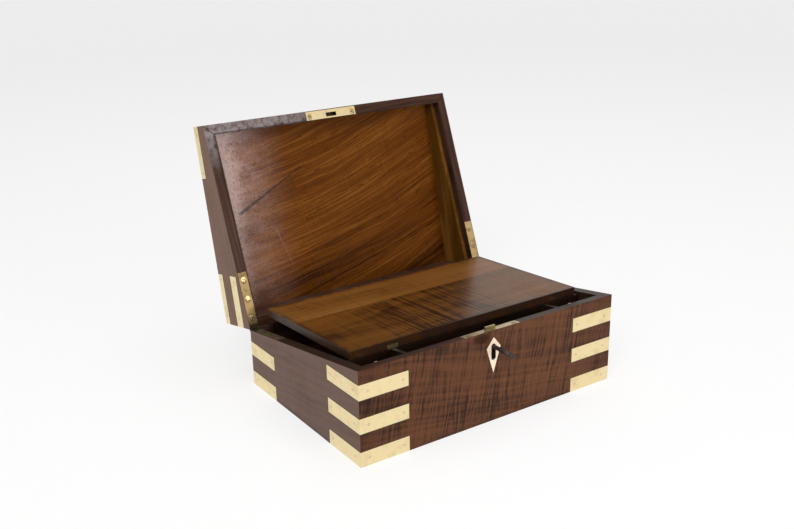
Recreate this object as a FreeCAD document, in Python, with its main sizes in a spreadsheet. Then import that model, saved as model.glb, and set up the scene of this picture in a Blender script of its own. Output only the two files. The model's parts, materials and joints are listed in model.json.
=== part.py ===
"""Brass-bound campaign writing box, open, with its pen row and writing flap.

The box is a veneered case sawn apart on a sloping plane. The base is tall at the front and carries
the lock, the pen row and the flap; the lid is deep at the rear and swings on two strap hinges.
Millimetres. X runs right along the front, Y runs to the rear, Z is up, and the origin is the middle of
the underside. Lid pieces are modelled shut and swung open together about the hinge axis.
"""

import math
import os

import FreeCAD
import Part
import Sketcher

doc = FreeCAD.newDocument("WritingBox")
sheet = doc.addObject("Spreadsheet::Sheet", "Sizes")

DIMENSIONS = {
    # carcase
    "box_length": 305.0,
    "box_depth": 212.0,
    "box_height": 121.0,
    "lid_front_height": 26.0,
    "lid_rear_height": 60.5,
    "wall": 10.5,
    "bottom_thickness": 7.0,
    "top_thickness": 8.0,
    "rim_gap": 0.4,
    "open_angle": 102.0,
    "cutter_overrun": 1.0,
    # corner straps
    "strap_thickness": 1.6,
    "strap_height": 15.5,
    "strap_top_margin": 13.5,
    "strap_front_leg": 53.0,
    "strap_side_leg": 55.0,
    "strap_rear_leg": 51.0,
    "edge_strap_height": 10.7,
    "lid_strap_drop": 29.5,
    # strap hinges
    "hinge_setback": 0.2,
    "leaf_width": 9.5,
    "leaf_length": 60.0,
    "leaf_thickness": 2.0,
    "knuckle_radius": 2.6,
    "knuckle_clearance": 0.3,
    "knuckle_side_gap": 0.15,
    "pin_radius": 1.0,
    "pin_clearance": 0.08,
    "leaf_first_screw": 12.5,
    "leaf_screw_pitch": 20.0,
    # wood screws
    "screw_head_radius": 2.5,
    "screw_head_height": 1.7,
    "screw_shank_radius": 1.0,
    "screw_length": 8.0,
    # lock and key
    "lock_centre": -2.0,
    "selvedge_length": 66.0,
    "plate_width": 9.3,
    "plate_thickness": 1.6,
    "plate_screw_spread": 27.0,
    "case_length": 46.0,
    "case_height": 30.0,
    "case_depth": 6.6,
    "case_wall": 1.0,
    "bolt_width": 11.5,
    "bolt_thickness": 2.4,
    "bolt_height": 11.5,
    "bolt_way_depth": 24.0,
    "bolt_rise": 3.4,
    "bolt_clearance": 0.25,
    "strike_length": 62.0,
    "strike_slot_length": 13.0,
    "strike_slot_width": 4.4,
    "strike_pocket_depth": 7.0,
    "escutcheon_drop": 7.1,
    "escutcheon_shoulder_drop": 17.6,
    "escutcheon_foot_drop": 43.9,
    "escutcheon_width": 16.8,
    "escutcheon_thickness": 1.2,
    "keyhole_drop": 16.5,
    "keyhole_radius": 2.4,
    "keyhole_slot": 4.0,
    "keyhole_length": 12.3,
    "keyhole_past_case": 0.5,
    "key_shank_radius": 2.0,
    "key_reach": 29.3,
    "key_bow_radius": 6.2,
    "key_bow_wire": 1.8,
    "key_collar_radius": 3.0,
    "key_collar_length": 2.4,
    "key_bit_length": 7.0,
    "key_bit_width": 2.6,
    "key_bit_thickness": 1.8,
    "key_end_room": 1.0,
    "key_turned": 57.0,
    # pen row
    "pen_row_width": 26.5,
    "partition_thickness": 4.5,
    "partition_drop": 2.7,
    "ink_box_length": 48.0,
    "divider_thickness": 4.0,
    "divider_drop": 2.0,
    "fit_gap": 0.3,
    "bearer_width": 3.0,
    "bearer_height": 6.0,
    "box_lid_drop": 7.3,
    "box_lid_thickness": 4.0,
    "knob_radius": 3.6,
    "knob_height": 6.5,
    "knob_foot_radius": 2.4,
    "knob_neck_radius": 1.6,
    "knob_neck_start": 1.6,
    "knob_neck_end": 2.9,
    "knob_belly_start": 4.2,
    "knob_belly_end": 5.2,
    "knob_crown_radius": 2.2,
    "tray_drop": 22.3,
    "tray_height": 14.0,
    "tray_end_wall": 5.0,
    "tray_trough_radius": 11.0,
    # writing flap
    "flap_side_gap": 5.0,
    "flap_front_set": 0.7,
    "flap_rest_gap": 0.5,
    "flap_thickness": 8.0,
    "flap_axis_inset": 4.0,
    "flap_axis_rise": 11.8,
    "flap_axis_drop": 2.6,
    "flap_overhang": 1.6,
    "rail_thickness": 10.0,
    "rail_height": 30.5,
    "rail_clearance": 0.5,
    "rail_seat_drop": 1.0,
    "rail_under_flap": 0.9,
    "butt_inset": 45.0,
    "butt_width": 24.0,
    "butt_leaf": 13.0,
    "butt_thickness": 1.4,
    "butt_knuckle_radius": 2.2,
    "butt_pin_radius": 0.9,
    "catch_inset": 46.0,
    "catch_length": 12.0,
    "catch_height": 4.0,
    "catch_thickness": 1.2,
    # lid lining
    "batten_width": 4.5,
    "batten_drop": 8.6,
}

for row, (alias, number) in enumerate(DIMENSIONS.items(), start=1):
    sheet.set("A%d" % row, alias)
    sheet.set("B%d" % row, str(number))
    sheet.setAlias("B%d" % row, alias)
doc.recompute()


class Size:
    """A number together with the sheet expression that gives it."""

    def __init__(self, number, text):
        self.number = number
        self.text = text

    @staticmethod
    def of(other):
        return other if isinstance(other, Size) else Size(float(other), repr(float(other)))

    def __add__(self, other):
        other = Size.of(other)
        return Size(self.number + other.number, "(%s + %s)" % (self.text, other.text))

    def __sub__(self, other):
        other = Size.of(other)
        return Size(self.number - other.number, "(%s - %s)" % (self.text, other.text))

    def __mul__(self, other):
        other = Size.of(other)
        return Size(self.number * other.number, "(%s * %s)" % (self.text, other.text))

    def __truediv__(self, other):
        other = Size.of(other)
        return Size(self.number / other.number, "(%s / %s)" % (self.text, other.text))

    def __neg__(self):
        return Size(-self.number, "(0 - %s)" % self.text)


def size(alias):
    return Size(DIMENSIONS[alias], "Sizes." + alias)


def cosine(angle):
    return Size(math.cos(math.radians(angle.number)), "cos(%s * 1deg)" % angle.text)


def sine(angle):
    return Size(math.sin(math.radians(angle.number)), "sin(%s * 1deg)" % angle.text)


def tangent_angle(ratio):
    return Size(math.degrees(math.atan(ratio.number)), "(atan(%s) / 1deg)" % ratio.text)


def sine_angle(ratio):
    return Size(math.degrees(math.asin(ratio.number)), "(asin(%s) / 1deg)" % ratio.text)


def long_side(first, second):
    return Size(
        math.hypot(first.number, second.number), "sqrt(%s ^ 2 + %s ^ 2)" % (first.text, second.text)
    )


def bind(thing, prop, value):
    value = Size.of(value)
    thing.setExpression(prop, value.text)


def place(thing, x=0, y=0, z=0):
    bind(thing, "Placement.Base.x", x)
    bind(thing, "Placement.Base.y", y)
    bind(thing, "Placement.Base.z", z)
    return thing


def swing(thing, axis_y, axis_z, angle, start_y=0, start_z=0):
    """Turns a piece that starts at a place about an X axis, its front edge rising."""
    thing.Placement.Rotation = FreeCAD.Rotation(FreeCAD.Vector(-1, 0, 0), angle.number)
    c = cosine(angle)
    s = sine(angle)
    off_y = Size.of(start_y) - axis_y
    off_z = Size.of(start_z) - axis_z
    bind(thing, "Placement.Rotation.Angle", angle)
    bind(thing, "Placement.Base.y", axis_y + off_y * c + off_z * s)
    bind(thing, "Placement.Base.z", axis_z + off_z * c - off_y * s)
    return thing


def box(name, x0, x1, y0, y1, z0, z1):
    thing = doc.addObject("Part::Box", name)
    bind(thing, "Length", x1 - x0)
    bind(thing, "Width", y1 - y0)
    bind(thing, "Height", z1 - z0)
    return place(thing, x0, y0, z0)


def round_bar(name, direction, radius, length, x, y, z):
    """A cylinder that starts at a point and runs along a direction."""
    thing = doc.addObject("Part::Cylinder", name)
    bind(thing, "Radius", radius)
    bind(thing, "Height", length)
    thing.Placement.Rotation = FreeCAD.Rotation(FreeCAD.Vector(0, 0, 1), FreeCAD.Vector(*direction))
    return place(thing, x, y, z)


def fuse(name, things):
    thing = doc.addObject("Part::MultiFuse", name)
    thing.Shapes = things
    return thing


def cut(name, base, tools):
    thing = doc.addObject("Part::Cut", name)
    thing.Base = base
    thing.Tool = tools[0] if len(tools) == 1 else fuse(name + "_tools", tools)
    return thing


def common(name, first, second):
    thing = doc.addObject("Part::Common", name)
    thing.Base = first
    thing.Tool = second
    return thing


def group(name, things):
    thing = doc.addObject("Part::Compound", name)
    thing.Links = things
    return thing


def plane_of(body, role):
    return next(f for f in body.Origin.OriginFeatures if f.Role == role)


def outlined(body, name, role, points):
    """A closed outline of straight sides whose corners follow the sheet."""
    sketch = body.newObject("Sketcher::SketchObject", name)
    sketch.AttachmentSupport = [(plane_of(body, role), "")]
    sketch.MapMode = "FlatFace"
    points = [(Size.of(u), Size.of(v)) for u, v in points]
    corners = [FreeCAD.Vector(u.number, v.number, 0) for u, v in points]
    for i, corner in enumerate(corners):
        sketch.addGeometry(Part.LineSegment(corner, corners[(i + 1) % len(corners)]))
    for i, (u, v) in enumerate(points):
        sketch.addConstraint(Sketcher.Constraint("Coincident", i, 2, (i + 1) % len(points), 1))
        for kind, value in (("DistanceX", u), ("DistanceY", v)):
            index = sketch.addConstraint(Sketcher.Constraint(kind, -1, 1, i, 1, value.number))
            sketch.setExpression("Constraints[%d]" % index, value.text)
    return sketch


def prism(name, role, points, length, midplane=False):
    """An outline on an origin plane, padded along that plane's normal."""
    body = doc.addObject("PartDesign::Body", name)
    sketch = outlined(body, name + "_outline", role, points)
    pad = body.newObject("PartDesign::Pad", name + "_pad")
    pad.Profile = sketch
    pad.Midplane = midplane
    bind(pad, "Length", length)
    return body


def turned(name, points):
    """A half outline on the XZ plane, revolved about Z."""
    body = doc.addObject("PartDesign::Body", name)
    sketch = outlined(body, name + "_outline", "XZ_Plane", points)
    turn = body.newObject("PartDesign::Revolution", name + "_turn")
    turn.Profile = sketch
    turn.ReferenceAxis = (sketch, ["V_Axis"])
    turn.Angle = 360
    return body


NODES = {}


def node(name, thing):
    thing.Label = name
    NODES[name] = thing
    return thing


SIDES = (("left", -1), ("right", 1))
KNUCKLES = 3
LEAF_SCREWS = 3

# Planes and lines that every piece shares
half_length = size("box_length") / 2
half_depth = size("box_depth") / 2
height = size("box_height")
wall = size("wall")
inner_x = half_length - wall
inner_y = half_depth - wall
front_rim = height - size("lid_front_height")
rear_rim = height - size("lid_rear_height")
rim_slope = (front_rim - rear_rim) / size("box_depth")
rim_angle = tangent_angle(rim_slope)
gap = size("rim_gap")
hinge_y = half_depth + size("hinge_setback")
hinge_z = rear_rim + gap / 2 - size("hinge_setback") * rim_slope
open_angle = size("open_angle")
rim_offset = gap / 2 * cosine(rim_angle)


def rim_height(y):
    """Height of the base's rim at a place along the depth."""
    return rear_rim + (half_depth - Size.of(y)) * rim_slope


def on_rim(thing):
    """Carries a piece drawn on a level rim to the sloping one."""
    return swing(thing, hinge_y, hinge_z, rim_angle)


def rim_box(name, x0, x1, y0, y1, z0, z1):
    """A box drawn on a level rim and carried to the sloping one."""
    return swing(box(name, x0, x1, y0, y1, z0, z1), hinge_y, hinge_z, rim_angle, y0, z0)


def opened(thing):
    """Carries a lid piece from shut to standing open."""
    return swing(thing, hinge_y, hinge_z, open_angle)


def screw(name, x, y, z, direction):
    """A countersunk wood screw whose head ends at a point and whose shank runs along a direction."""
    head = doc.addObject("Part::Cone", name + "_head")
    bind(head, "Radius1", size("screw_head_radius"))
    bind(head, "Radius2", size("screw_shank_radius"))
    bind(head, "Height", size("screw_head_height"))
    head.Placement.Rotation = FreeCAD.Rotation(FreeCAD.Vector(0, 0, 1), FreeCAD.Vector(0, 0, direction))
    place(head, x, y, z)
    shank = round_bar(
        name + "_shank", (0, 0, direction), size("screw_shank_radius"), size("screw_length"), x, y, z
    )
    return on_rim(fuse(name, [head, shank]))


# Corner straps: flat brass let flush into both faces of a corner
def corner_strap(name, side, end, bottom, strap_height, front_leg, side_leg):
    """side is -1 for left and 1 for right, end is -1 for the front corner and 1 for the rear one."""
    t = size("strap_thickness")
    x = half_length * side
    y = half_depth * end

    def inward(dx, dy):
        return (x - Size.of(dx) * side, y - Size.of(dy) * end)

    points = [inward(0, 0), inward(front_leg, 0), inward(front_leg, t)]
    points += [inward(t, t), inward(t, side_leg), inward(0, side_leg)]
    strap = prism(name, "XY_Plane", points, strap_height)
    return place(strap, 0, 0, bottom)


strap_step = (front_rim - size("strap_top_margin") - size("strap_height")) / 2
base_straps = {"front_left": [], "front_right": [], "rear_left": [], "rear_right": []}
for side_name, side in SIDES:
    for end_name, end, count in (("front", -1, 3), ("rear", 1, 2)):
        corner = end_name + "_" + side_name
        legs = size("strap_side_leg") if end < 0 else size("strap_rear_leg")
        for number in range(count):
            name = "base_%s_strap_%d" % (corner, number + 1)
            strap = corner_strap(
                name, side, end, strap_step * number, size("strap_height"), size("strap_front_leg"), legs
            )
            base_straps[corner].append(node(name, strap))

lid_straps = {"front_left": [], "front_right": [], "rear_left": [], "rear_right": []}
for side_name, side in SIDES:
    for end_name, end in (("front", -1), ("rear", 1)):
        corner = end_name + "_" + side_name
        rows = [(height - size("edge_strap_height"), size("edge_strap_height"))]
        if end > 0:
            rows.append((height - size("lid_strap_drop") - size("strap_height"), size("strap_height")))
        for number, (bottom, tall) in enumerate(rows):
            name = "lid_%s_strap_%d" % (corner, number + 1)
            shut = corner_strap(
                name + "_shut", side, end, bottom, tall, size("strap_front_leg"), size("strap_side_leg")
            )
            lid_straps[corner].append(shut)
            node(name, opened(group(name, [shut])))

# Strap hinges: a long leaf let into each side rim, two base knuckles and one lid knuckle round a pin
leaf_half = size("leaf_width") / 2
knuckle = size("leaf_width") / KNUCKLES
overrun = size("cutter_overrun")
hinge_cuts = {"base": {}, "lid": {}}
screw_sets = {"base": [], "lid": []}
pins = []
for side_name, side in SIDES:
    middle = (half_length - wall / 2) * side
    low = middle - leaf_half
    high = middle + leaf_half
    bars = {
        "outer_low": (low, knuckle - size("knuckle_side_gap")),
        "centre": (low + knuckle, knuckle),
        "outer_high": (high - knuckle + size("knuckle_side_gap"), knuckle - size("knuckle_side_gap")),
    }
    pin = round_bar(
        "pin_" + side_name, (1, 0, 0), size("pin_radius"), size("leaf_width"), low, hinge_y, hinge_z
    )
    pins.append(pin)
    for half, up in (("base", -1), ("lid", 1)):
        tag = "%s_leaf_%s" % (half, side_name)
        near = hinge_z + rim_offset * up
        far = near + size("leaf_thickness") * up
        z0, z1 = (far, near) if up < 0 else (near, far)
        blank = rim_box(tag + "_blank", low, high, hinge_y - size("leaf_length"), hinge_y, z0, z1)
        own = ("outer_low", "outer_high") if half == "base" else ("centre",)
        other = ("centre",) if half == "base" else ("outer_low", "outer_high")
        rolls = []
        for part in own:
            start, length = bars[part]
            rolls.append(
                round_bar(
                    tag + "_" + part, (1, 0, 0), size("knuckle_radius"), length, start, hinge_y, hinge_z
                )
            )
        clearances = []
        grow = size("knuckle_side_gap")
        for part in other:
            start, length = bars[part]
            if part == "outer_low":
                start = start - overrun
                length = length + overrun + grow
            elif part == "outer_high":
                start = start - grow
                length = length + overrun + grow
            clearances.append(
                round_bar(
                    tag + "_room_" + part,
                    (1, 0, 0),
                    size("knuckle_radius") + size("knuckle_clearance"),
                    length,
                    start,
                    hinge_y,
                    hinge_z,
                )
            )
        bore = size("pin_radius") if half == "base" else size("pin_radius") + size("pin_clearance")
        hole = round_bar(tag + "_bore", (1, 0, 0), bore, size("leaf_width"), low, hinge_y, hinge_z)
        screws = []
        for number in range(LEAF_SCREWS):
            along = size("leaf_first_screw") + size("leaf_screw_pitch") * number
            screws.append(
                screw("%s_screw_%d" % (tag, number + 1), middle, hinge_y - along, near, up)
            )
        screw_sets[half] += screws
        leaf_name = "%s_hinge_leaf_%s" % (half, side_name)
        leaf = cut(leaf_name, fuse(tag, [blank] + rolls), clearances + [hole] + screws)
        room = round_bar(
            tag + "_room",
            (1, 0, 0),
            size("knuckle_radius") + size("knuckle_clearance"),
            size("leaf_width"),
            low,
            hinge_y,
            hinge_z,
        )
        hinge_cuts[half][side_name] = [blank, room] + screws
        node(leaf_name, leaf if half == "base" else opened(leaf))

node("hinge_pins", group("hinge_pins", pins))
node("base_hinge_screws", group("base_hinge_screws", screw_sets["base"]))
node("lid_hinge_screws", opened(group("lid_hinge_screws", screw_sets["lid"])))

# Lock: a case let into the back of the front board, its selvedge on the rim, a rising bolt and a key
lock_x = size("lock_centre")
case_back = -inner_y
case_front = case_back - size("case_depth")
front_middle = -(half_depth - wall / 2)
level_middle = hinge_y - (hinge_y - front_middle) / cosine(rim_angle)
selvedge_half = size("selvedge_length") / 2
plate_half = size("plate_width") / 2
case_skin = size("case_wall")
play = size("bolt_clearance")
bolt_middle = case_front + case_skin + play + size("bolt_thickness") / 2
bolt_half = size("bolt_width") / 2
bolt_top = rim_height(bolt_middle) + size("bolt_rise")
bolt_y0 = bolt_middle - size("bolt_thickness") / 2
bolt_y1 = bolt_middle + size("bolt_thickness") / 2
bolt = box(
    "lock_bolt",
    lock_x - bolt_half,
    lock_x + bolt_half,
    bolt_y0,
    bolt_y1,
    bolt_top - size("bolt_height"),
    bolt_top,
)
node("lock_bolt", bolt)
bolt_way = box(
    "bolt_way",
    lock_x - bolt_half - play,
    lock_x + bolt_half + play,
    bolt_y0 - play,
    bolt_y1 + play,
    bolt_top - size("bolt_way_depth"),
    bolt_top + overrun,
)
selvedge_top = hinge_z - rim_offset
selvedge_blank = rim_box(
    "selvedge_blank",
    lock_x - selvedge_half,
    lock_x + selvedge_half,
    level_middle - plate_half,
    level_middle + plate_half,
    selvedge_top - size("plate_thickness"),
    selvedge_top,
)
selvedge_screws = [
    screw("selvedge_screw_%d" % i, lock_x + size("plate_screw_spread") * i, level_middle, selvedge_top, -1)
    for i in (-1, 1)
]
node("lock_selvedge", cut("lock_selvedge", selvedge_blank, [bolt_way] + selvedge_screws))
node("selvedge_screws", group("selvedge_screws", selvedge_screws))

case_half = size("case_length") / 2
case_top = rim_height(case_back) - size("plate_thickness") / cosine(rim_angle)
case_bottom = case_top - size("case_height")
case_blank = box(
    "lock_case_blank", lock_x - case_half, lock_x + case_half, case_front, case_back, case_bottom, case_top
)
case_room = box(
    "lock_case_room",
    lock_x - case_half + case_skin,
    lock_x + case_half - case_skin,
    case_front + case_skin,
    case_back - case_skin,
    case_bottom + case_skin,
    case_top - case_skin,
)
key_z = front_rim - size("keyhole_drop")
keyhole_start = -half_depth - overrun
keyhole_end = case_front + case_skin + size("keyhole_past_case")
keyhole_slot = box(
    "keyhole_slot",
    lock_x - size("keyhole_slot") / 2,
    lock_x + size("keyhole_slot") / 2,
    keyhole_start,
    keyhole_end,
    key_z - size("keyhole_length"),
    key_z,
)
keyhole_bore = round_bar(
    "keyhole_bore",
    (0, 1, 0),
    size("keyhole_radius"),
    keyhole_end - keyhole_start,
    lock_x,
    keyhole_start,
    key_z,
)
keyhole = fuse("keyhole", [keyhole_bore, keyhole_slot])
node("lock_case", cut("lock_case", case_blank, [case_room, keyhole, bolt_way]))

kite_shoulder = front_rim - size("escutcheon_shoulder_drop")
kite = [
    (lock_x, front_rim - size("escutcheon_drop")),
    (lock_x + size("escutcheon_width") / 2, kite_shoulder),
    (lock_x, front_rim - size("escutcheon_foot_drop")),
    (lock_x - size("escutcheon_width") / 2, kite_shoulder),
]
kite_blank = prism("escutcheon_blank", "XZ_Plane", kite, size("escutcheon_thickness"))
place(kite_blank, 0, -half_depth + size("escutcheon_thickness"), 0)
node("keyhole_escutcheon", cut("keyhole_escutcheon", kite_blank, [keyhole]))

bow_y = -half_depth - size("key_reach") + size("key_bow_radius") + size("key_bow_wire")
shank_end = case_back - case_skin - size("key_end_room")
shank = round_bar(
    "key_shank",
    (0, 1, 0),
    size("key_shank_radius"),
    shank_end - bow_y - size("key_bow_radius"),
    lock_x,
    bow_y + size("key_bow_radius"),
    key_z,
)
bow = doc.addObject("Part::Torus", "key_bow")
bind(bow, "Radius1", size("key_bow_radius"))
bind(bow, "Radius2", size("key_bow_wire"))
bow.Placement.Rotation = FreeCAD.Rotation(FreeCAD.Vector(0, 0, 1), FreeCAD.Vector(1, 0, 0))
place(bow, lock_x, bow_y, key_z)
collar = round_bar(
    "key_collar",
    (0, 1, 0),
    size("key_collar_radius"),
    size("key_collar_length"),
    lock_x,
    bow_y + size("key_bow_radius") + size("key_bow_wire"),
    key_z,
)
bit = box(
    "key_bit",
    lock_x - size("key_bit_thickness") / 2,
    lock_x + size("key_bit_thickness") / 2,
    shank_end - size("key_bit_width"),
    shank_end,
    key_z - size("key_bit_length"),
    key_z,
)
key = fuse("key", [shank, bow, collar, bit])
turned_by = size("key_turned")
key.Placement.Rotation = FreeCAD.Rotation(FreeCAD.Vector(0, -1, 0), turned_by.number)
bind(key, "Placement.Rotation.Angle", turned_by)
bind(key, "Placement.Base.x", lock_x - lock_x * cosine(turned_by) + key_z * sine(turned_by))
bind(key, "Placement.Base.z", key_z - key_z * cosine(turned_by) - lock_x * sine(turned_by))
node("key", key)

strike_bottom = hinge_z + rim_offset
strike_half = size("strike_length") / 2
slot_half = size("strike_slot_width") / 2
bolt_lean = size("bolt_rise") * sine(rim_angle) / 2
level_bolt = hinge_y - (hinge_y - bolt_middle) / cosine(rim_angle) - bolt_lean
strike_blank = rim_box(
    "strike_blank",
    lock_x - strike_half,
    lock_x + strike_half,
    level_middle - plate_half,
    level_middle + plate_half,
    strike_bottom,
    strike_bottom + size("plate_thickness"),
)
strike_pocket = rim_box(
    "strike_pocket",
    lock_x - size("strike_slot_length") / 2,
    lock_x + size("strike_slot_length") / 2,
    level_bolt - slot_half,
    level_bolt + slot_half,
    strike_bottom - overrun,
    strike_bottom + size("strike_pocket_depth"),
)
strike_screws = [
    screw("strike_screw_%d" % i, lock_x + size("plate_screw_spread") * i, level_middle, strike_bottom, 1)
    for i in (-1, 1)
]
node("strike_plate", opened(cut("strike_plate", strike_blank, [strike_pocket] + strike_screws)))
node("strike_screws", opened(group("strike_screws", strike_screws)))

# Carcase: four mitred boards round the whole box, parted on the sloping rim
outer_corner = {}
inner_corner = {}
for side_name, side in SIDES:
    for end_name, end in (("front", -1), ("rear", 1)):
        outer_corner[end_name, side_name] = (half_length * side, half_depth * end)
        inner_corner[end_name, side_name] = (inner_x * side, inner_y * end)


def mitred(first, second):
    """Plan of a board from one corner to the next, its ends cut on the mitre."""
    return [outer_corner[first], outer_corner[second], inner_corner[second], inner_corner[first]]


corners = {
    "front": mitred(("front", "left"), ("front", "right")),
    "right": mitred(("front", "right"), ("rear", "right")),
    "rear": mitred(("rear", "right"), ("rear", "left")),
    "left": mitred(("rear", "left"), ("front", "left")),
}
envelopes = {
    "base": prism(
        "base_envelope",
        "YZ_Plane",
        [(-half_depth, 0), (half_depth, 0), (half_depth, rear_rim), (-half_depth, front_rim)],
        size("box_length"),
        midplane=True,
    ),
    "lid": prism(
        "lid_envelope",
        "YZ_Plane",
        [
            (-half_depth, front_rim + gap),
            (half_depth, rear_rim + gap),
            (half_depth, height),
            (-half_depth, height),
        ],
        size("box_length"),
        midplane=True,
    ),
}
touching = {
    "front": ("front_left", "front_right"),
    "rear": ("rear_left", "rear_right"),
    "left": ("front_left", "rear_left"),
    "right": ("front_right", "rear_right"),
}
lock_cuts = [selvedge_blank, case_blank, keyhole, bolt_way, kite_blank] + selvedge_screws
strike_cuts = [strike_blank, strike_pocket] + strike_screws
boards = {}
for name, points in corners.items():
    boards[name] = prism(name + "_board", "XY_Plane", points, height)
for half, straps in (("base", base_straps), ("lid", lid_straps)):
    for name in corners:
        tools = [strap for corner in touching[name] for strap in straps[corner]]
        if name in ("left", "right"):
            tools += hinge_cuts[half][name]
        elif name == "rear":
            tools += hinge_cuts[half]["left"] + hinge_cuts[half]["right"]
        else:
            tools += lock_cuts if half == "base" else strike_cuts
        board = common("%s_%s_sawn" % (half, name), boards[name], envelopes[half])
        piece = cut("%s_%s" % (half, name), board, tools)
        node("%s_%s" % (half, name), piece if half == "base" else opened(piece))

node(
    "base_bottom",
    box("base_bottom", -inner_x, inner_x, -inner_y, inner_y, Size.of(0), size("bottom_thickness")),
)
lid_top = box("lid_top_shut", -inner_x, inner_x, -inner_y, inner_y, height - size("top_thickness"), height)
node("lid_top", opened(group("lid_top", [lid_top])))

# Battens inside the lid's two sides
for side_name, side in SIDES:
    batten_points = [
        (-inner_y, rim_height(-inner_y) + gap + size("batten_drop")),
        (inner_y, rim_height(inner_y) + gap + size("batten_drop")),
        (inner_y, height - size("top_thickness")),
        (-inner_y, height - size("top_thickness")),
    ]
    batten = prism("lid_batten_" + side_name, "YZ_Plane", batten_points, size("batten_width"))
    place(batten, inner_x * side if side < 0 else inner_x - size("batten_width"))
    shut = group("lid_batten_%s_shut" % side_name, [batten])
    node("lid_batten_" + side_name, opened(shut))

# Pen row behind the front board: a long partition, two dividers, a tray and two lidded boxes
floor = size("bottom_thickness")
row_front = -inner_y
row_rear = row_front + size("pen_row_width")
partition_top = rim_height(row_rear) - size("partition_drop")
node(
    "pen_partition",
    box(
        "pen_partition",
        -inner_x,
        inner_x,
        row_rear,
        row_rear + size("partition_thickness"),
        floor,
        partition_top,
    ),
)
divider_half = size("divider_thickness") / 2
box_near = inner_x - size("ink_box_length")
divider_middle = box_near - divider_half
for side_name, side in SIDES:
    outline = [
        (row_front, floor),
        (row_rear, floor),
        (row_rear, rim_height(row_rear) - size("divider_drop")),
        (row_front, rim_height(row_front) - size("divider_drop")),
    ]
    divider = prism("divider_" + side_name, "YZ_Plane", outline, size("divider_thickness"))
    place(divider, divider_middle * side - divider_half)
    node("divider_" + side_name, divider)

fit = size("fit_gap")
tray_half = divider_middle - divider_half
box_lid_top = partition_top - size("box_lid_drop")
lid_bottom = box_lid_top - size("box_lid_thickness")
tray_top = partition_top - size("tray_drop")
tray_bottom = tray_top - size("tray_height")
bearers = []
for span, low, high, top in (
    ("left", -inner_x, -box_near, lid_bottom),
    ("middle", -tray_half, tray_half, tray_bottom),
    ("right", box_near, inner_x, lid_bottom),
):
    for face, y0, y1 in (
        ("front", row_front, row_front + size("bearer_width")),
        ("rear", row_rear - size("bearer_width"), row_rear),
    ):
        bearers.append(
            box("bearer_%s_%s" % (span, face), low, high, y0, y1, top - size("bearer_height"), top)
        )
node("pen_row_bearers", group("pen_row_bearers", bearers))

row_middle = (row_front + row_rear) / 2
for side_name, side in SIDES:
    low = box_near if side > 0 else -inner_x
    high = inner_x if side > 0 else -box_near
    node(
        "ink_box_lid_" + side_name,
        box(
            "ink_box_lid_" + side_name,
            low + fit,
            high - fit,
            row_front + fit,
            row_rear - fit,
            lid_bottom,
            box_lid_top,
        ),
    )
    neck = size("knob_neck_radius")
    belly = size("knob_radius")
    knob = turned(
        "ink_box_knob_" + side_name,
        [
            (0, 0),
            (size("knob_foot_radius"), 0),
            (neck, size("knob_neck_start")),
            (neck, size("knob_neck_end")),
            (belly, size("knob_belly_start")),
            (belly, size("knob_belly_end")),
            (size("knob_crown_radius"), size("knob_height")),
            (0, size("knob_height")),
        ],
    )
    place(knob, (low + high) / 2, row_middle, box_lid_top)
    node("ink_box_knob_" + side_name, knob)

tray_blank = box(
    "pen_tray_blank",
    -tray_half + fit,
    tray_half - fit,
    row_front + fit,
    row_rear - fit,
    tray_bottom,
    tray_top,
)
trough_half = tray_half - fit - size("tray_end_wall")
trough = round_bar(
    "pen_tray_trough",
    (1, 0, 0),
    size("tray_trough_radius"),
    trough_half * 2,
    -trough_half,
    row_middle,
    tray_top,
)
node("pen_tray", cut("pen_tray", tray_blank, [trough]))

# Writing flap: a board on two butt hinges, its front edge resting over the partition
flap_y = inner_y - size("flap_axis_inset")
flap_z = rim_height(inner_y) + size("flap_axis_rise")
flap_half = inner_x - size("flap_side_gap")
flap_under = flap_z + size("flap_axis_drop")
flap_rear = flap_y + size("flap_overhang")
flap_front = row_rear + size("flap_front_set")
flap_reach = flap_y - flap_front
flap_climb = partition_top + size("flap_rest_gap") - flap_z
flap_swing = long_side(flap_reach, size("flap_axis_drop"))
flap_tilt = sine_angle(flap_climb / flap_swing) - tangent_angle(size("flap_axis_drop") / flap_reach)
butt_t = size("butt_thickness")
butt_r = size("butt_knuckle_radius")
rail_top = flap_z - size("flap_axis_drop") - size("rail_under_flap")
rail_bottom = rail_top - size("rail_height")
rail_front = inner_y - size("rail_thickness")
rail_seat = rim_height(inner_y) - size("rail_seat_drop")


def tilted(thing):
    return swing(thing, flap_y, flap_z, flap_tilt)


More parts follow.
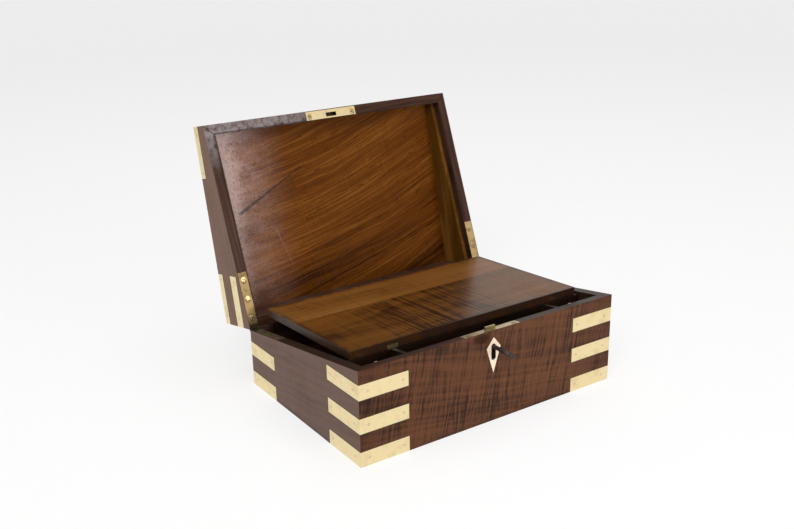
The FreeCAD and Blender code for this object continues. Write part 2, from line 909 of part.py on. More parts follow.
rail = prism(
    "flap_rail_blank",
    "YZ_Plane",
    [
        (rail_front, rail_bottom),
        (inner_y, rail_bottom),
        (inner_y, rail_seat),
        (inner_y - size("rail_clearance"), rail_seat),
        (inner_y - size("rail_clearance"), rail_top),
        (rail_front, rail_top),
    ],
    flap_half * 2,
    midplane=True,
)
rail_leaves = []
board_leaves = []
flap_pins = []
rail_seats = []
board_seats = []
for side_name, side in SIDES:
    middle = (flap_half - size("butt_inset")) * side
    butt_half = size("butt_width") / 2
    third = size("butt_width") / KNUCKLES
    low = middle - butt_half
    tag = "flap_butt_" + side_name
    rail_leaf = box(
        tag + "_rail_plate",
        low,
        low + size("butt_width"),
        rail_front,
        flap_y + butt_r,
        rail_top - butt_t,
        rail_top,
    )
    stem = box(
        tag + "_stem",
        low + third + fit,
        low + third * 2 - fit,
        flap_y - butt_r,
        flap_y + butt_r,
        rail_top - butt_t,
        flap_z,
    )
    roll = round_bar(
        tag + "_rail_roll", (1, 0, 0), butt_r, third - fit * 2, low + third + fit, flap_y, flap_z
    )
    bore = round_bar(
        tag + "_rail_bore", (1, 0, 0), size("butt_pin_radius"), size("butt_width"), low, flap_y, flap_z
    )
    rail_leaves.append(cut(tag + "_rail_leaf", fuse(tag + "_rail_body", [rail_leaf, stem, roll]), [bore]))
    rail_seats.append(rail_leaf)
    flap_pins.append(
        round_bar(tag + "_pin", (1, 0, 0), size("butt_pin_radius"), size("butt_width"), low, flap_y, flap_z)
    )
    board_plate = box(
        tag + "_board_plate",
        low,
        low + size("butt_width"),
        flap_y - size("butt_leaf"),
        flap_y + butt_r,
        flap_under,
        flap_under + butt_t,
    )
    pieces = [board_plate]
    for number, start in enumerate((low, low + third * 2)):
        pieces.append(
            box(
                "%s_board_stem_%d" % (tag, number),
                start,
                start + third,
                flap_y - butt_r,
                flap_y + butt_r,
                flap_z,
                flap_under + butt_t,
            )
        )
        pieces.append(
            round_bar("%s_board_roll_%d" % (tag, number), (1, 0, 0), butt_r, third, start, flap_y, flap_z)
        )
    board_bore = round_bar(
        tag + "_board_bore",
        (1, 0, 0),
        size("butt_pin_radius") + size("pin_clearance"),
        size("butt_width"),
        low,
        flap_y,
        flap_z,
    )
    board_leaves.append(cut(tag + "_board_leaf", fuse(tag + "_board_body", pieces), [board_bore]))
    board_seats.append(board_plate)

node("flap_hinge_rail", cut("flap_hinge_rail", rail, rail_seats))
node("flap_rail_leaves", group("flap_rail_leaves", rail_leaves))
node("flap_hinge_pins", group("flap_hinge_pins", flap_pins))
node("flap_board_leaves", tilted(group("flap_board_leaves", board_leaves)))
flap_blank = box(
    "flap_blank",
    -flap_half,
    flap_half,
    flap_front,
    flap_rear,
    flap_under,
    flap_under + size("flap_thickness"),
)
catch_middle = size("catch_inset") - flap_half
catch_half = size("catch_length") / 2
catch = box(
    "flap_catch_blank",
    catch_middle - catch_half,
    catch_middle + catch_half,
    flap_front,
    flap_front + size("catch_thickness"),
    flap_under,
    flap_under + size("catch_height"),
)
node("flap_catch", tilted(group("flap_catch", [catch])))
node("writing_flap", tilted(cut("writing_flap", flap_blank, board_seats + [catch])))

# Build, test and write one file for each node
doc.recompute()
for thing in doc.Objects:
    if "Invalid" in thing.State or "Error" in thing.State:
        raise RuntimeError("%s failed: %s" % (thing.Name, thing.State))
os.makedirs("parts", exist_ok=True)
for name, thing in NODES.items():
    shape = thing.Shape
    if shape.isNull() or not shape.isValid() or not shape.Solids:
        raise RuntimeError(name + " is not a valid solid")
    shape.exportStep("parts/%s.step" % name)
    print(name, len(shape.Solids), round(shape.Volume, 1))
print(len(NODES), "nodes")
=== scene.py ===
"""Looks of a brass-bound walnut writing box: veneer, brass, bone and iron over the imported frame."""

import json
import math

import bmesh
import bpy
from mathutils import Matrix, Vector


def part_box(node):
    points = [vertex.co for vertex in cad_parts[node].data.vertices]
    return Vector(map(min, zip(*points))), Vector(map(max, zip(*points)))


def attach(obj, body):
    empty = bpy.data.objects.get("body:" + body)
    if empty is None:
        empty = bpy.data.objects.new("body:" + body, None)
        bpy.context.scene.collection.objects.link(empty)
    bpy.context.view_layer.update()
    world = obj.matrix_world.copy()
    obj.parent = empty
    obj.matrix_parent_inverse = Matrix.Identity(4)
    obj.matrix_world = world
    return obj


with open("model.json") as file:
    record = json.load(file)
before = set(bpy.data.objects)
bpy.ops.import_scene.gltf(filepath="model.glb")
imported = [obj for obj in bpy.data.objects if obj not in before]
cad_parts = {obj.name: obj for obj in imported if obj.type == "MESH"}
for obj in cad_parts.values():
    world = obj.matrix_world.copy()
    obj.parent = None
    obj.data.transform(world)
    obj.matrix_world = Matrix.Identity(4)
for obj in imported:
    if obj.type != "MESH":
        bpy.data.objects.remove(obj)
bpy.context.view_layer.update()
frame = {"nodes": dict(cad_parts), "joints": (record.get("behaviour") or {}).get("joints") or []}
nodes = frame["nodes"]
bpy.context.scene.view_settings.view_transform = "Standard"

# Carcase boards
# Eight mitred walnut boards, veneered outside, make the base and the lid. The rims are darker than the
# veneer with old wax, and the base rims are darker still with painted shade; the lower edges are darker
# towards the bottom, and the arrises are rubbed soft.
lid_hinge = next(j for j in frame["joints"] if j["name"] == "lid_hinge")
hinge_point = Vector(lid_hinge["pos_m"])
lid_swing = math.radians(-lid_hinge["range_deg"][0])
base_low, base_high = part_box("base_front")
half_length = base_high.x
half_depth = -base_low.y
rim_front = base_high.z
rim_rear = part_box("base_rear")[1].z
left_low, left_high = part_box("lid_left")
board_thickness = left_high.x - left_low.x
LENGTHWISE = (1, 0, 0)
UPWARD = (0, 0, 1)
DOWNWARD = (0, 0, -1)
FORWARD = (0, -1, 0)


def add(tree, kind, inputs=None, **settings):
    """A shader node with its settings made and its sockets set or joined."""
    made = tree.nodes.new(kind)
    for key, value in settings.items():
        setattr(made, key, value)
    for key, value in (inputs or {}).items():
        if isinstance(value, bpy.types.NodeSocket):
            tree.links.new(value, made.inputs[key])
        else:
            made.inputs[key].default_value = value
    return made


def sums(tree, operation, first, second=0.0, third=0.0):
    made = add(tree, "ShaderNodeMath", {0: first, 1: second, 2: third}, operation=operation)
    return made.outputs[0]


def ramp(tree, value, low, high, start=0.0, end=1.0):
    """A smooth step of a value between two limits."""
    made = add(
        tree,
        "ShaderNodeMapRange",
        {"Value": value, "From Min": low, "From Max": high, "To Min": start, "To Max": end},
        interpolation_type="SMOOTHSTEP",
    )
    return made.outputs["Result"]


def blend(tree, share, first, second, kind="MIX"):
    made = add(
        tree, "ShaderNodeMix", {0: share, 6: first, 7: second}, data_type="RGBA", blend_type=kind
    )
    return made.outputs[2]


def vectors(tree, operation, first, second=(0, 0, 0)):
    return add(tree, "ShaderNodeVectorMath", {0: first, 1: second}, operation=operation).outputs


def split(tree, vector):
    return add(tree, "ShaderNodeSeparateXYZ", {0: vector}).outputs


def joined(tree, x=0.0, y=0.0, z=0.0):
    return add(tree, "ShaderNodeCombineXYZ", {"X": x, "Y": y, "Z": z}).outputs[0]


def own_place(tree):
    return add(tree, "ShaderNodeTexCoord").outputs["Object"]


def effect(name, inputs, outputs):
    """An empty shader group with named sockets."""
    tree = bpy.data.node_groups.new(name, "ShaderNodeTree")
    kinds = {"v": "NodeSocketVector", "f": "NodeSocketFloat", "c": "NodeSocketColor"}
    for key, kind in inputs.items():
        tree.interface.new_socket(key, in_out="INPUT", socket_type=kinds[kind])
    for key, kind in outputs.items():
        tree.interface.new_socket(key, in_out="OUTPUT", socket_type=kinds[kind])
    entry = tree.nodes.new("NodeGroupInput")
    leave = tree.nodes.new("NodeGroupOutput")
    return tree, entry.outputs, leave.inputs


def noise(tree, vector, scale, detail=4.0, rough=0.55):
    made = add(
        tree,
        "ShaderNodeTexNoise",
        {"Vector": vector, "Scale": scale, "Detail": detail, "Roughness": rough},
    )
    return made.outputs["Fac"]


def stretched(tree, vector, scale):
    made = add(tree, "ShaderNodeMapping", {"Vector": vector, "Scale": scale}, vector_type="POINT")
    return made.outputs["Vector"]


def streaks(tree, vector, stretch, detail=4.0, rough=0.55):
    """Noise drawn out along an axis: as many spots in a metre as the stretch says."""
    return noise(tree, stretched(tree, vector, stretch), scale=1.0, detail=detail, rough=rough)


def waves(tree, vector, direction, scale, distortion, detail, spread):
    made = add(
        tree,
        "ShaderNodeTexWave",
        {
            "Vector": vector,
            "Scale": scale,
            "Distortion": distortion,
            "Detail": detail,
            "Detail Scale": spread,
            "Detail Roughness": 0.6,
        },
        bands_direction=direction,
    )
    return made.outputs["Fac"]


def centred(tree, value, share):
    return sums(tree, "MULTIPLY", sums(tree, "SUBTRACT", value, 0.5), share)


# walnut_figure: grain runs along X of its vector, curl crosses it, pores lie in short dark lines
GRAIN_WANDER = 0.022
MIDDLE_TONE = 0.52
CURL_SHARPNESS = 1.6
CURL_SHARE = 0.55
RIPPLE_SHARE = 0.6
PATCH_LEVELS = (0.34, 0.66)
RIPPLE_LEVELS = (0.42, 0.72)
DARK_LEVELS = (0.0, 0.5)
LIGHT_LEVELS = (0.48, 1.0)
PORE_LEVELS = (0.6, 0.72)
WAXED_ROUGHNESS = 0.3
PORE_ROUGHNESS = 0.12
STREAK_ROUGHNESS = 0.16
PORE_DEPTH = -0.5
STREAK_HEIGHT = 0.35
tree, given, out = effect(
    "walnut_figure",
    {
        "Vector": "v",
        "Dark": "c",
        "Middle": "c",
        "Light": "c",
        "Curl": "f",
        "Streak": "f",
        "Rings": "f",
        "Cloud": "f",
        "Pores": "f",
    },
    {"Color": "c", "Roughness": "f", "Height": "f"},
)
grain = given["Vector"]
wander = streaks(tree, grain, (6, 24, 24), detail=3.0, rough=0.5)
aside = joined(tree, y=sums(tree, "MULTIPLY", wander, GRAIN_WANDER))
bent = vectors(tree, "ADD", grain, aside)[0]
broad = streaks(tree, bent, (3.5, 30, 30))
fine = streaks(tree, bent, (11, 560, 560), detail=5.0, rough=0.62)
pores = streaks(tree, bent, (62, 950, 950), detail=3.0)
ripple = streaks(tree, grain, (330, 16, 16), rough=0.6)
patch = ramp(tree, streaks(tree, grain, (14, 20, 20), detail=3.0), *PATCH_LEVELS)
ring_place = stretched(tree, bent, (0.07, 1, 1))
rings = waves(tree, ring_place, "Y", scale=34.0, distortion=16.0, detail=4.0, spread=0.7)
curl_place = stretched(tree, grain, (1, 0.2, 0.2))
curl = waves(tree, curl_place, "X", scale=62.0, distortion=14.0, detail=4.0, spread=1.0)
tone = sums(tree, "ADD", centred(tree, broad, given["Cloud"]), MIDDLE_TONE)
tone = sums(tree, "ADD", tone, centred(tree, fine, given["Streak"]))
tone = sums(tree, "ADD", tone, centred(tree, rings, given["Rings"]))
curl = sums(tree, "POWER", curl, CURL_SHARPNESS)
folds = sums(tree, "MULTIPLY", curl, sums(tree, "MULTIPLY", patch, CURL_SHARE))
ripple = ramp(tree, ripple, *RIPPLE_LEVELS)
folds = sums(tree, "ADD", folds, sums(tree, "MULTIPLY", ripple, RIPPLE_SHARE))
tone = sums(tree, "SUBTRACT", tone, sums(tree, "MULTIPLY", folds, given["Curl"]))
colour = blend(tree, ramp(tree, tone, *DARK_LEVELS), given["Dark"], given["Middle"])
colour = blend(tree, ramp(tree, tone, *LIGHT_LEVELS), colour, given["Light"])
pore_mask = ramp(tree, pores, *PORE_LEVELS)
colour = blend(tree, sums(tree, "MULTIPLY", pore_mask, given["Pores"]), colour, given["Dark"])
tree.links.new(colour, out["Color"])
rough = sums(tree, "MULTIPLY_ADD", pore_mask, PORE_ROUGHNESS, WAXED_ROUGHNESS)
tree.links.new(sums(tree, "MULTIPLY_ADD", fine, STREAK_ROUGHNESS, rough), out["Roughness"])
height = sums(tree, "MULTIPLY", fine, STREAK_HEIGHT)
tree.links.new(sums(tree, "MULTIPLY_ADD", pore_mask, PORE_DEPTH, height), out["Height"])
walnut_figure = tree

# rubbed_dirt: patches of old wax and dust, thicker where the given mask is high
SMUDGE_LEVELS = (0.3, 0.6)
SPECK_LEVELS = (0.62, 0.75)
SPECK_SHARE = 0.35
BLOOM_LEVELS = (0.42, 0.75)
tree, given, out = effect(
    "rubbed_dirt", {"Vector": "v", "Mask": "f", "Amount": "f"}, {"Dirt": "f", "Bloom": "f"}
)
smudge = noise(tree, given["Vector"], scale=55.0, detail=6.0, rough=0.65)
speck = noise(tree, given["Vector"], scale=420.0, detail=3.0, rough=0.6)
bloom = noise(tree, given["Vector"], scale=18.0, rough=0.6)
dirt = sums(tree, "MULTIPLY", given["Mask"], ramp(tree, smudge, *SMUDGE_LEVELS))
dirt = sums(tree, "MULTIPLY_ADD", ramp(tree, speck, *SPECK_LEVELS), SPECK_SHARE, dirt)
tree.links.new(sums(tree, "MULTIPLY", dirt, given["Amount"]), out["Dirt"])
tree.links.new(ramp(tree, bloom, *BLOOM_LEVELS), out["Bloom"])
rubbed_dirt = tree

ARRIS_STEPS = 2
ARRIS_ANGLE = math.radians(35)


def material(name):
    made = bpy.data.materials.new(name)
    made.use_nodes = True
    shader = made.node_tree.nodes["Principled BSDF"]
    return made, made.node_tree, shader


def wear(thing, finish, arris):
    """Gives a carried-over piece its finish and softens its arrises by a width."""
    thing.data.materials.clear()
    thing.data.materials.append(finish)
    if arris:
        soft = thing.modifiers.new("soft_arris", "BEVEL")
        soft.width = arris
        soft.segments = ARRIS_STEPS
        soft.limit_method = "ANGLE"
        soft.angle_limit = ARRIS_ANGLE
        soft.use_clamp_overlap = True
        soft.harden_normals = False


def shut_place(tree, on_lid):
    """Where a point and its face lie with the lid shut, so one grain rule serves both halves."""
    coordinates = add(tree, "ShaderNodeTexCoord").outputs
    place, face = coordinates["Object"], coordinates["Normal"]
    if not on_lid:
        return place, face
    shut = []
    for vector, centre in ((place, hinge_point), (face, (0, 0, 0))):
        turned_back = add(
            tree,
            "ShaderNodeVectorRotate",
            {"Vector": vector, "Center": centre, "Axis": LENGTHWISE, "Angle": lid_swing},
            rotation_type="AXIS_ANGLE",
        )
        shut.append(turned_back.outputs[0])
    return shut


FACING_LEVELS = (0.6, 0.8)


def facing(tree, face, direction):
    return ramp(tree, vectors(tree, "DOT_PRODUCT", face, direction)["Value"], *FACING_LEVELS)


def figured(tree, vector, tones, curl, streak, rings, cloud, pores):
    """Walnut figure in three tones, dark to light."""
    dark, middle, light = tones
    return add(
        tree,
        "ShaderNodeGroup",
        {
            "Vector": vector,
            "Dark": dark,
            "Middle": middle,
            "Light": light,
            "Curl": curl,
            "Streak": streak,
            "Rings": rings,
            "Cloud": cloud,
            "Pores": pores,
        },
        node_tree=walnut_figure,
    ).outputs


def soiled(tree, vector, mask, amount):
    values = {"Vector": vector, "Mask": mask, "Amount": amount}
    return add(tree, "ShaderNodeGroup", values, node_tree=rubbed_dirt).outputs


def raised(tree, shader, height, strength, distance):
    bump = add(
        tree, "ShaderNodeBump", {"Height": height, "Strength": strength, "Distance": distance}
    )
    tree.links.new(bump.outputs[0], shader.inputs["Normal"])


GRAIN_STRENGTH = 0.12
GRAIN_DEPTH = 0.0004


def waxed(tree, shader, colour, figure, bloom, dulling, gloss):
    """Joins a wood's colour, its worn wax and its grain to the shader."""
    tree.links.new(colour, shader.inputs["Base Color"])
    rough = sums(tree, "MULTIPLY_ADD", bloom, dulling, figure["Roughness"])
    tree.links.new(rough, shader.inputs["Roughness"])
    raised(tree, shader, figure["Height"], GRAIN_STRENGTH, GRAIN_DEPTH)
    shader.inputs["Specular IOR Level"].default_value = gloss


GRAIN_SLOPE = 0.16
BOARD_GLOSS = 0.12
BOARD_DULLING = 0.12
END_REACH = 0.07
END_SHADE = 0.55
END_TINT = (0.55, 0.5, 0.5, 1)
FOOT_HEIGHT = 0.006
FOOT_DIRT = 0.6
WAX_DIRT = (0.02, 0.014, 0.01, 1)
RIM_SHEEN_TINT = (0.22, 0.188, 0.188, 1)
RIM_SHEEN_SIDEWAYS = (0.03, -0.08)
RIM_SHEEN_FORWARD = (-0.05, -0.098)
RIM_SHEEN_STRETCH = (160, 160, 160)
RIM_SHEEN_LEVELS = (0.28, 0.6)
JOINT_DARK = (0.010, 0.006, 0.004, 1)
JOINT_SHARE = 0.85
MITRE_LINE = 0.0009
INNER_EDGE_REACH = 0.0022
ARRIS_SHARE = 0.7


def board_finish(name, on_lid, outward, tones, rim_tones, shift, curl, streak, cloud):
    """A walnut board: figured veneer outside, plainer wood inside, a dark worn rim; the base rims'
    tones carry painted shade, and the lid's rim a painted sheen at its front left.
    """
    made, tree, shader = material(name)
    place, face = shut_place(tree, on_lid)
    x, y, z = split(tree, place)
    along, across = (x, y) if abs(outward[1]) else (y, x)
    sloped = sums(tree, "MULTIPLY_ADD", along, GRAIN_SLOPE, z)
    leaning = sums(tree, "MULTIPLY_ADD", z, -GRAIN_SLOPE, along)
    grain = joined(tree, leaning, sloped, sums(tree, "ADD", across, shift))
    veneer = figured(tree, grain, tones, curl, streak, rings=0.16, cloud=cloud, pores=0.3)
    rim_grain = joined(tree, along, across, shift)
    edge_wood = figured(
        tree, rim_grain, rim_tones, curl=0.1, streak=0.9, rings=0.3, cloud=1.5, pores=0.5
    )
    outside = facing(tree, face, outward)
    if on_lid:
        outside = sums(tree, "MAXIMUM", outside, facing(tree, face, UPWARD))
    rim = facing(tree, face, DOWNWARD if on_lid else UPWARD)
    from_side = sums(tree, "SUBTRACT", half_length, sums(tree, "ABSOLUTE", x))
    from_end = sums(tree, "SUBTRACT", half_depth, sums(tree, "ABSOLUTE", y))
    colour = blend(tree, outside, edge_wood["Color"], veneer["Color"])
    # The outside faces are painted darker towards the board ends: painted shade at the corners.
    ends = ramp(tree, from_side, 0.0, END_REACH, END_SHADE, 0.0)
    shaded = blend(tree, 1.0, colour, END_TINT, "MULTIPLY")
    colour = blend(tree, sums(tree, "MULTIPLY", outside, ends), colour, shaded)
    colour = blend(tree, rim, colour, edge_wood["Color"])
    # A pale, mottled painted sheen on the lid's rim at its front left corner: a painted highlight.
    if on_lid:
        leftward = ramp(tree, x, *RIM_SHEEN_SIDEWAYS)
        corner = sums(tree, "MULTIPLY", leftward, ramp(tree, y, *RIM_SHEEN_FORWARD))
        sheen_noise = streaks(tree, place, RIM_SHEEN_STRETCH, detail=6.0, rough=0.7)
        sheen_mottle = ramp(tree, sheen_noise, *RIM_SHEEN_LEVELS)
        rim_sheen = sums(tree, "MULTIPLY", rim, sums(tree, "MULTIPLY", corner, sheen_mottle))
        colour = blend(tree, rim_sheen, colour, RIM_SHEEN_TINT)
    # The rim is darker along the mitres, a dark joint, and towards its inner edge.
    off_mitre = sums(tree, "ABSOLUTE", sums(tree, "SUBTRACT", from_side, from_end))
    to_inside = sums(tree, "SUBTRACT", board_thickness, sums(tree, "MINIMUM", from_side, from_end))
    joint = ramp(tree, off_mitre, MITRE_LINE / 3, MITRE_LINE, JOINT_SHARE, 0.0)
    arris = ramp(tree, to_inside, INNER_EDGE_REACH / 4, INNER_EDGE_REACH, ARRIS_SHARE, 0.0)
    darker_lines = sums(tree, "MULTIPLY", rim, sums(tree, "MAXIMUM", joint, arris))
    colour = blend(tree, darker_lines, colour, JOINT_DARK)
    grime = soiled(tree, place, ramp(tree, z, 0.0, FOOT_HEIGHT, 1.0, 0.0), FOOT_DIRT)
    colour = blend(tree, grime["Dirt"], colour, WAX_DIRT)
    waxed(tree, shader, colour, veneer, grime["Bloom"], BOARD_DULLING, BOARD_GLOSS)
    return made


SMEAR_RAGGED = 0.9
SMEAR_LEVELS = (0.45, 1.1)
SMEAR_SHARE = 0.92


def smear(finish, centre, spread, tint):
    """A greasy smear with a ragged edge, laid over a finish about a point."""
    tree = finish.node_tree
    socket = tree.nodes["Principled BSDF"].inputs["Base Color"]
    colour = socket.links[0].from_socket
    local = add(
        tree,
        "ShaderNodeMapping",
        {"Vector": own_place(tree), "Location": centre, "Scale": spread},
        vector_type="TEXTURE",
    ).outputs[0]
    reach = vectors(tree, "LENGTH", local)["Value"]
    ragged = centred(tree, noise(tree, local, scale=1.6, detail=5.0, rough=0.6), SMEAR_RAGGED)
    mask = ramp(tree, sums(tree, "ADD", reach, ragged), *SMEAR_LEVELS, SMEAR_SHARE, 0.0)
    tree.links.new(blend(tree, mask, colour, tint), socket)


front_tones = ((0.028, 0.011, 0.005, 1), (0.108, 0.040, 0.016, 1), (0.184, 0.078, 0.034, 1))
side_tones = ((0.085, 0.048, 0.034, 1), (0.172, 0.101, 0.074, 1), (0.240, 0.152, 0.118, 1))
lid_side_tones = ((0.098, 0.048, 0.030, 1), (0.212, 0.115, 0.074, 1), (0.305, 0.178, 0.122, 1))
# The base rims' tones are darker than the wood's own colour as painted shade, the left rim most, where
# the flap's shadow falls.
base_rim_tones_with_shade = ((0.009, 0.004, 0.002, 1), (0.030, 0.014, 0.008, 1), (0.070, 0.038, 0.024, 1))
left_rim_tones_with_shade = ((0.006, 0.003, 0.002, 1), (0.019, 0.009, 0.005, 1), (0.050, 0.026, 0.016, 1))
lid_rim_tones = ((0.014, 0.005, 0.003, 1), (0.046, 0.019, 0.011, 1), (0.085, 0.042, 0.027, 1))
BOARD_SHIFT = 0.31
BOARD_ARRIS = 0.0003
REAR_ARRIS = 0.0001
LOCK_SMEAR = (-0.0165, -half_depth, rim_front - 0.0055)
LOCK_SMEAR_SPREAD = (0.013, 0.01, 0.0062)
LOCK_SMEAR_TINT = (0.026, 0.007, 0.001, 1)
board_faces = {"front": FORWARD, "rear": (0, 1, 0), "left": (-1, 0, 0), "right": (1, 0, 0)}
for number, (side, outward) in enumerate(board_faces.items()):
    for half, on_lid, rims in (("base", False, base_rim_tones_with_shade), ("lid", True, lid_rim_tones)):
        name = "%s_%s" % (half, side)
        if name == "base_left":
            rims = left_rim_tones_with_shade
        shift = BOARD_SHIFT * number
        if side in ("front", "rear"):
            look = {"tones": front_tones, "curl": 0.54, "streak": 0.3, "cloud": 0.75}
        else:
            tones = lid_side_tones if on_lid else side_tones
            look = {"tones": tones, "curl": 0.12, "streak": 0.7, "cloud": 0.9}
        finish = board_finish(
            "walnut_" + name, on_lid, outward, rim_tones=rims, shift=shift, **look
        )
        wear(nodes[name], finish, REAR_ARRIS if side == "rear" else BOARD_ARRIS)
        if name == "base_front":
            smear(finish, LOCK_SMEAR, LOCK_SMEAR_SPREAD, LOCK_SMEAR_TINT)

# Lid panel, battens and bottom
# One broad walnut panel closes the lid, its figure running aslant, with a painted sheen at its left
# end;
# two fruitwood battens stiffen its sides. The bottom board, the pen row and the flap's rail are plain
# dark wood, glued in, their tones darkened further as painted shade.
SCORE_STRETCH = (130, 420, 1)
SCORE_RAGGED = 1.4
SCORE_EDGE = (0.35, 1.0)
SCORE_START = 0.003
SCORE_END = 0.012
SCORE_BREAKS = (0.3, 0.55, 0.35, 1.0)


def score(tree, place, start, end, width, taper):
    """The mask of one ragged scored line from start to end, narrowing by its taper."""
    run = Vector(end) - Vector(start)
    length = run.length
    local = add(
        tree,
        "ShaderNodeMapping",
        {"Vector": place, "Location": (*start, 0), "Rotation": (0, 0, math.atan2(run.y, run.x))},
        vector_type="TEXTURE",
    ).outputs[0]
    along, across = split(tree, local)[:2]
    ragged = streaks(tree, local, SCORE_STRETCH, rough=0.65)
    across = sums(tree, "ADD", across, centred(tree, ragged, width * SCORE_RAGGED))
    half = ramp(tree, along, 0.0, length, width, width * taper)
    reach = sums(tree, "DIVIDE", sums(tree, "ABSOLUTE", across), half)
    inside = sums(tree, "SUBTRACT", 1.0, ramp(tree, reach, *SCORE_EDGE))
    begun = ramp(tree, along, 0.0, SCORE_START)
    ended = ramp(tree, along, length, length - SCORE_END)
    drawn = sums(tree, "MULTIPLY", inside, sums(tree, "MULTIPLY", begun, ended))
    return sums(tree, "MULTIPLY", drawn, ramp(tree, ragged, *SCORE_BREAKS))


SHEEN_SPECKLE = (0.32, 0.58, 0.4, 1.0)
SHEEN_CLOUD = (0.3, 0.62, 0.5, 1.0)
SHEEN_CLOUD_STRETCH = (30, 70, 70)
SHEEN_REACH = (-0.135, -0.05, 0.75, 0.0)
SHEEN_BORDER = (-0.130, -0.108, 0.75, 0.0)
SHEEN_FORWARD = (0.09, -0.07, 0.6, 1.0)
SHEEN_ROUGHNESS = 0.3
SHEEN_TINT = (0.42, 0.245, 0.200, 1)
SHEEN_SHARE = 0.7
TIDE_START = (-0.0815, 0.012)
TIDE_END = (-0.0655, 0.062)
TIDE_TINT = (0.22, 0.115, 0.075, 1)
TIDE_SHARE = 0.5
GASH_START = (-0.1225, -0.0065)
GASH_END = (-0.0310, -0.0518)
GASH_TINT = (0.020, 0.012, 0.014, 1)
GASH_SHARE = 0.85


def lid_marks_and_sheen(tree, place, inside, colour, shader):
    """Marks inside the lid panel: a glossier coat at the left end, its colour paled as a painted sheen,
    a dark score, a tide line.
    """
    x, y = split(tree, place)[:2]
    speckle = ramp(tree, noise(tree, place, scale=420.0, rough=0.7), *SHEEN_SPECKLE)
    cloud = ramp(tree, streaks(tree, place, SHEEN_CLOUD_STRETCH, rough=0.6), *SHEEN_CLOUD)
    broad = sums(tree, "MULTIPLY", ramp(tree, x, *SHEEN_REACH), cloud)
    sheen_spread = sums(tree, "ADD", broad, ramp(tree, x, *SHEEN_BORDER))
    uneven = sums(tree, "MULTIPLY", speckle, ramp(tree, y, *SHEEN_FORWARD))
    coat_and_painted_sheen = sums(tree, "MINIMUM", sums(tree, "MULTIPLY", sheen_spread, uneven), 1.0)
    coat_and_painted_sheen = sums(tree, "MULTIPLY", coat_and_painted_sheen, inside)
    tree.links.new(coat_and_painted_sheen, shader.inputs["Coat Weight"])
    shader.inputs["Coat Roughness"].default_value = SHEEN_ROUGHNESS
    # The sheen is also painted into the colour, paler towards the left end: a painted highlight.
    colour = blend(tree, sums(tree, "MULTIPLY", coat_and_painted_sheen, SHEEN_SHARE), colour, SHEEN_TINT)
    tide = score(tree, place, TIDE_START, TIDE_END, width=0.0012, taper=0.6)
    tide = sums(tree, "MULTIPLY", sums(tree, "MULTIPLY", tide, inside), TIDE_SHARE)
    colour = blend(tree, tide, colour, TIDE_TINT)
    gash = score(tree, place, GASH_START, GASH_END, width=0.0026, taper=0.3)
    gash = sums(tree, "MULTIPLY", sums(tree, "MULTIPLY", gash, inside), GASH_SHARE)
    return blend(tree, gash, colour, GASH_TINT)


PANEL_CURL = 0.1
PANEL_DULLING = 0.15
PANEL_DIRT = 0.5
PANEL_DIRT_TINT = (0.03, 0.018, 0.012, 1)


def panel_finish(name, on_lid, turn, tones, streak, rings, cloud, pores, gloss, sway=0.0):
    """A flat board with its grain turned; one whose grain sways bears the lid's old marks and its
    painted sheen.
    """
    made, tree, shader = material(name)
    place, face = shut_place(tree, on_lid)
    mapped = add(tree, "ShaderNodeMapping", {"Vector": place, "Rotation": (0, 0, turn)}).outputs[0]
    along, across, deep = split(tree, mapped)
    bowed = sums(tree, "MULTIPLY_ADD", sums(tree, "MULTIPLY", along, along), sway, across)
    grain = joined(tree, along, bowed, deep)
    veneer = figured(tree, grain, tones, PANEL_CURL, streak, rings, cloud, pores)
    grime = soiled(tree, place, mask=0.0, amount=PANEL_DIRT)
    colour = blend(tree, grime["Dirt"], veneer["Color"], PANEL_DIRT_TINT)
    if sway:
        colour = lid_marks_and_sheen(tree, place, facing(tree, face, DOWNWARD), colour, shader)
    waxed(tree, shader, colour, veneer, grime["Bloom"], PANEL_DULLING, gloss)
    return made


panel_tones = ((0.026, 0.007, 0.001, 1), (0.104, 0.031, 0.003, 1), (0.200, 0.070, 0.010, 1))
batten_tones = ((0.030, 0.011, 0.001, 1), (0.084, 0.033, 0.004, 1), (0.160, 0.070, 0.012, 1))
# The plain wood's tones are darker than the wood itself as painted shade, for the well and pen row
# under the flap.
plain_tones_with_shade = ((0.004, 0.002, 0.001, 1), (0.013, 0.006, 0.003, 1), (0.030, 0.013, 0.007, 1))
PANEL_TURN = math.radians(15)
BATTEN_TURN = math.radians(90)
GRAIN_SWAY = 0.5
PANEL_ARRIS = 0.0002
panel_wood = panel_finish(
    "walnut_lid_panel",
    True,
    PANEL_TURN,
    panel_tones,
    streak=1.5,
    rings=0.12,
    cloud=1.7,
    pores=0.95,
    gloss=0.03,
    sway=GRAIN_SWAY,
)
wear(nodes["lid_top"], panel_wood, PANEL_ARRIS)
batten_wood = panel_finish(
    "fruitwood_batten",
    True,
    BATTEN_TURN,
    batten_tones,
    streak=0.9,
    rings=0.3,
    cloud=1.8,
    pores=0.7,
    gloss=0.1,
)
for side in ("left", "right"):
    wear(nodes["lid_batten_" + side], batten_wood, BOARD_ARRIS)
plain_wood = panel_finish(
    "plain_wood", False, 0.0, plain_tones_with_shade, streak=0.7, rings=0.3, cloud=1.5, pores=0.5, gloss=0.15
)
plain_names = ["base_bottom", "pen_partition", "divider_left", "divider_right", "pen_row_bearers"]
plain_names += ["pen_tray", "flap_hinge_rail", "ink_box_lid_left", "ink_box_lid_right"]
for name in plain_names:
    wear(nodes[name], plain_wood, BOARD_ARRIS)

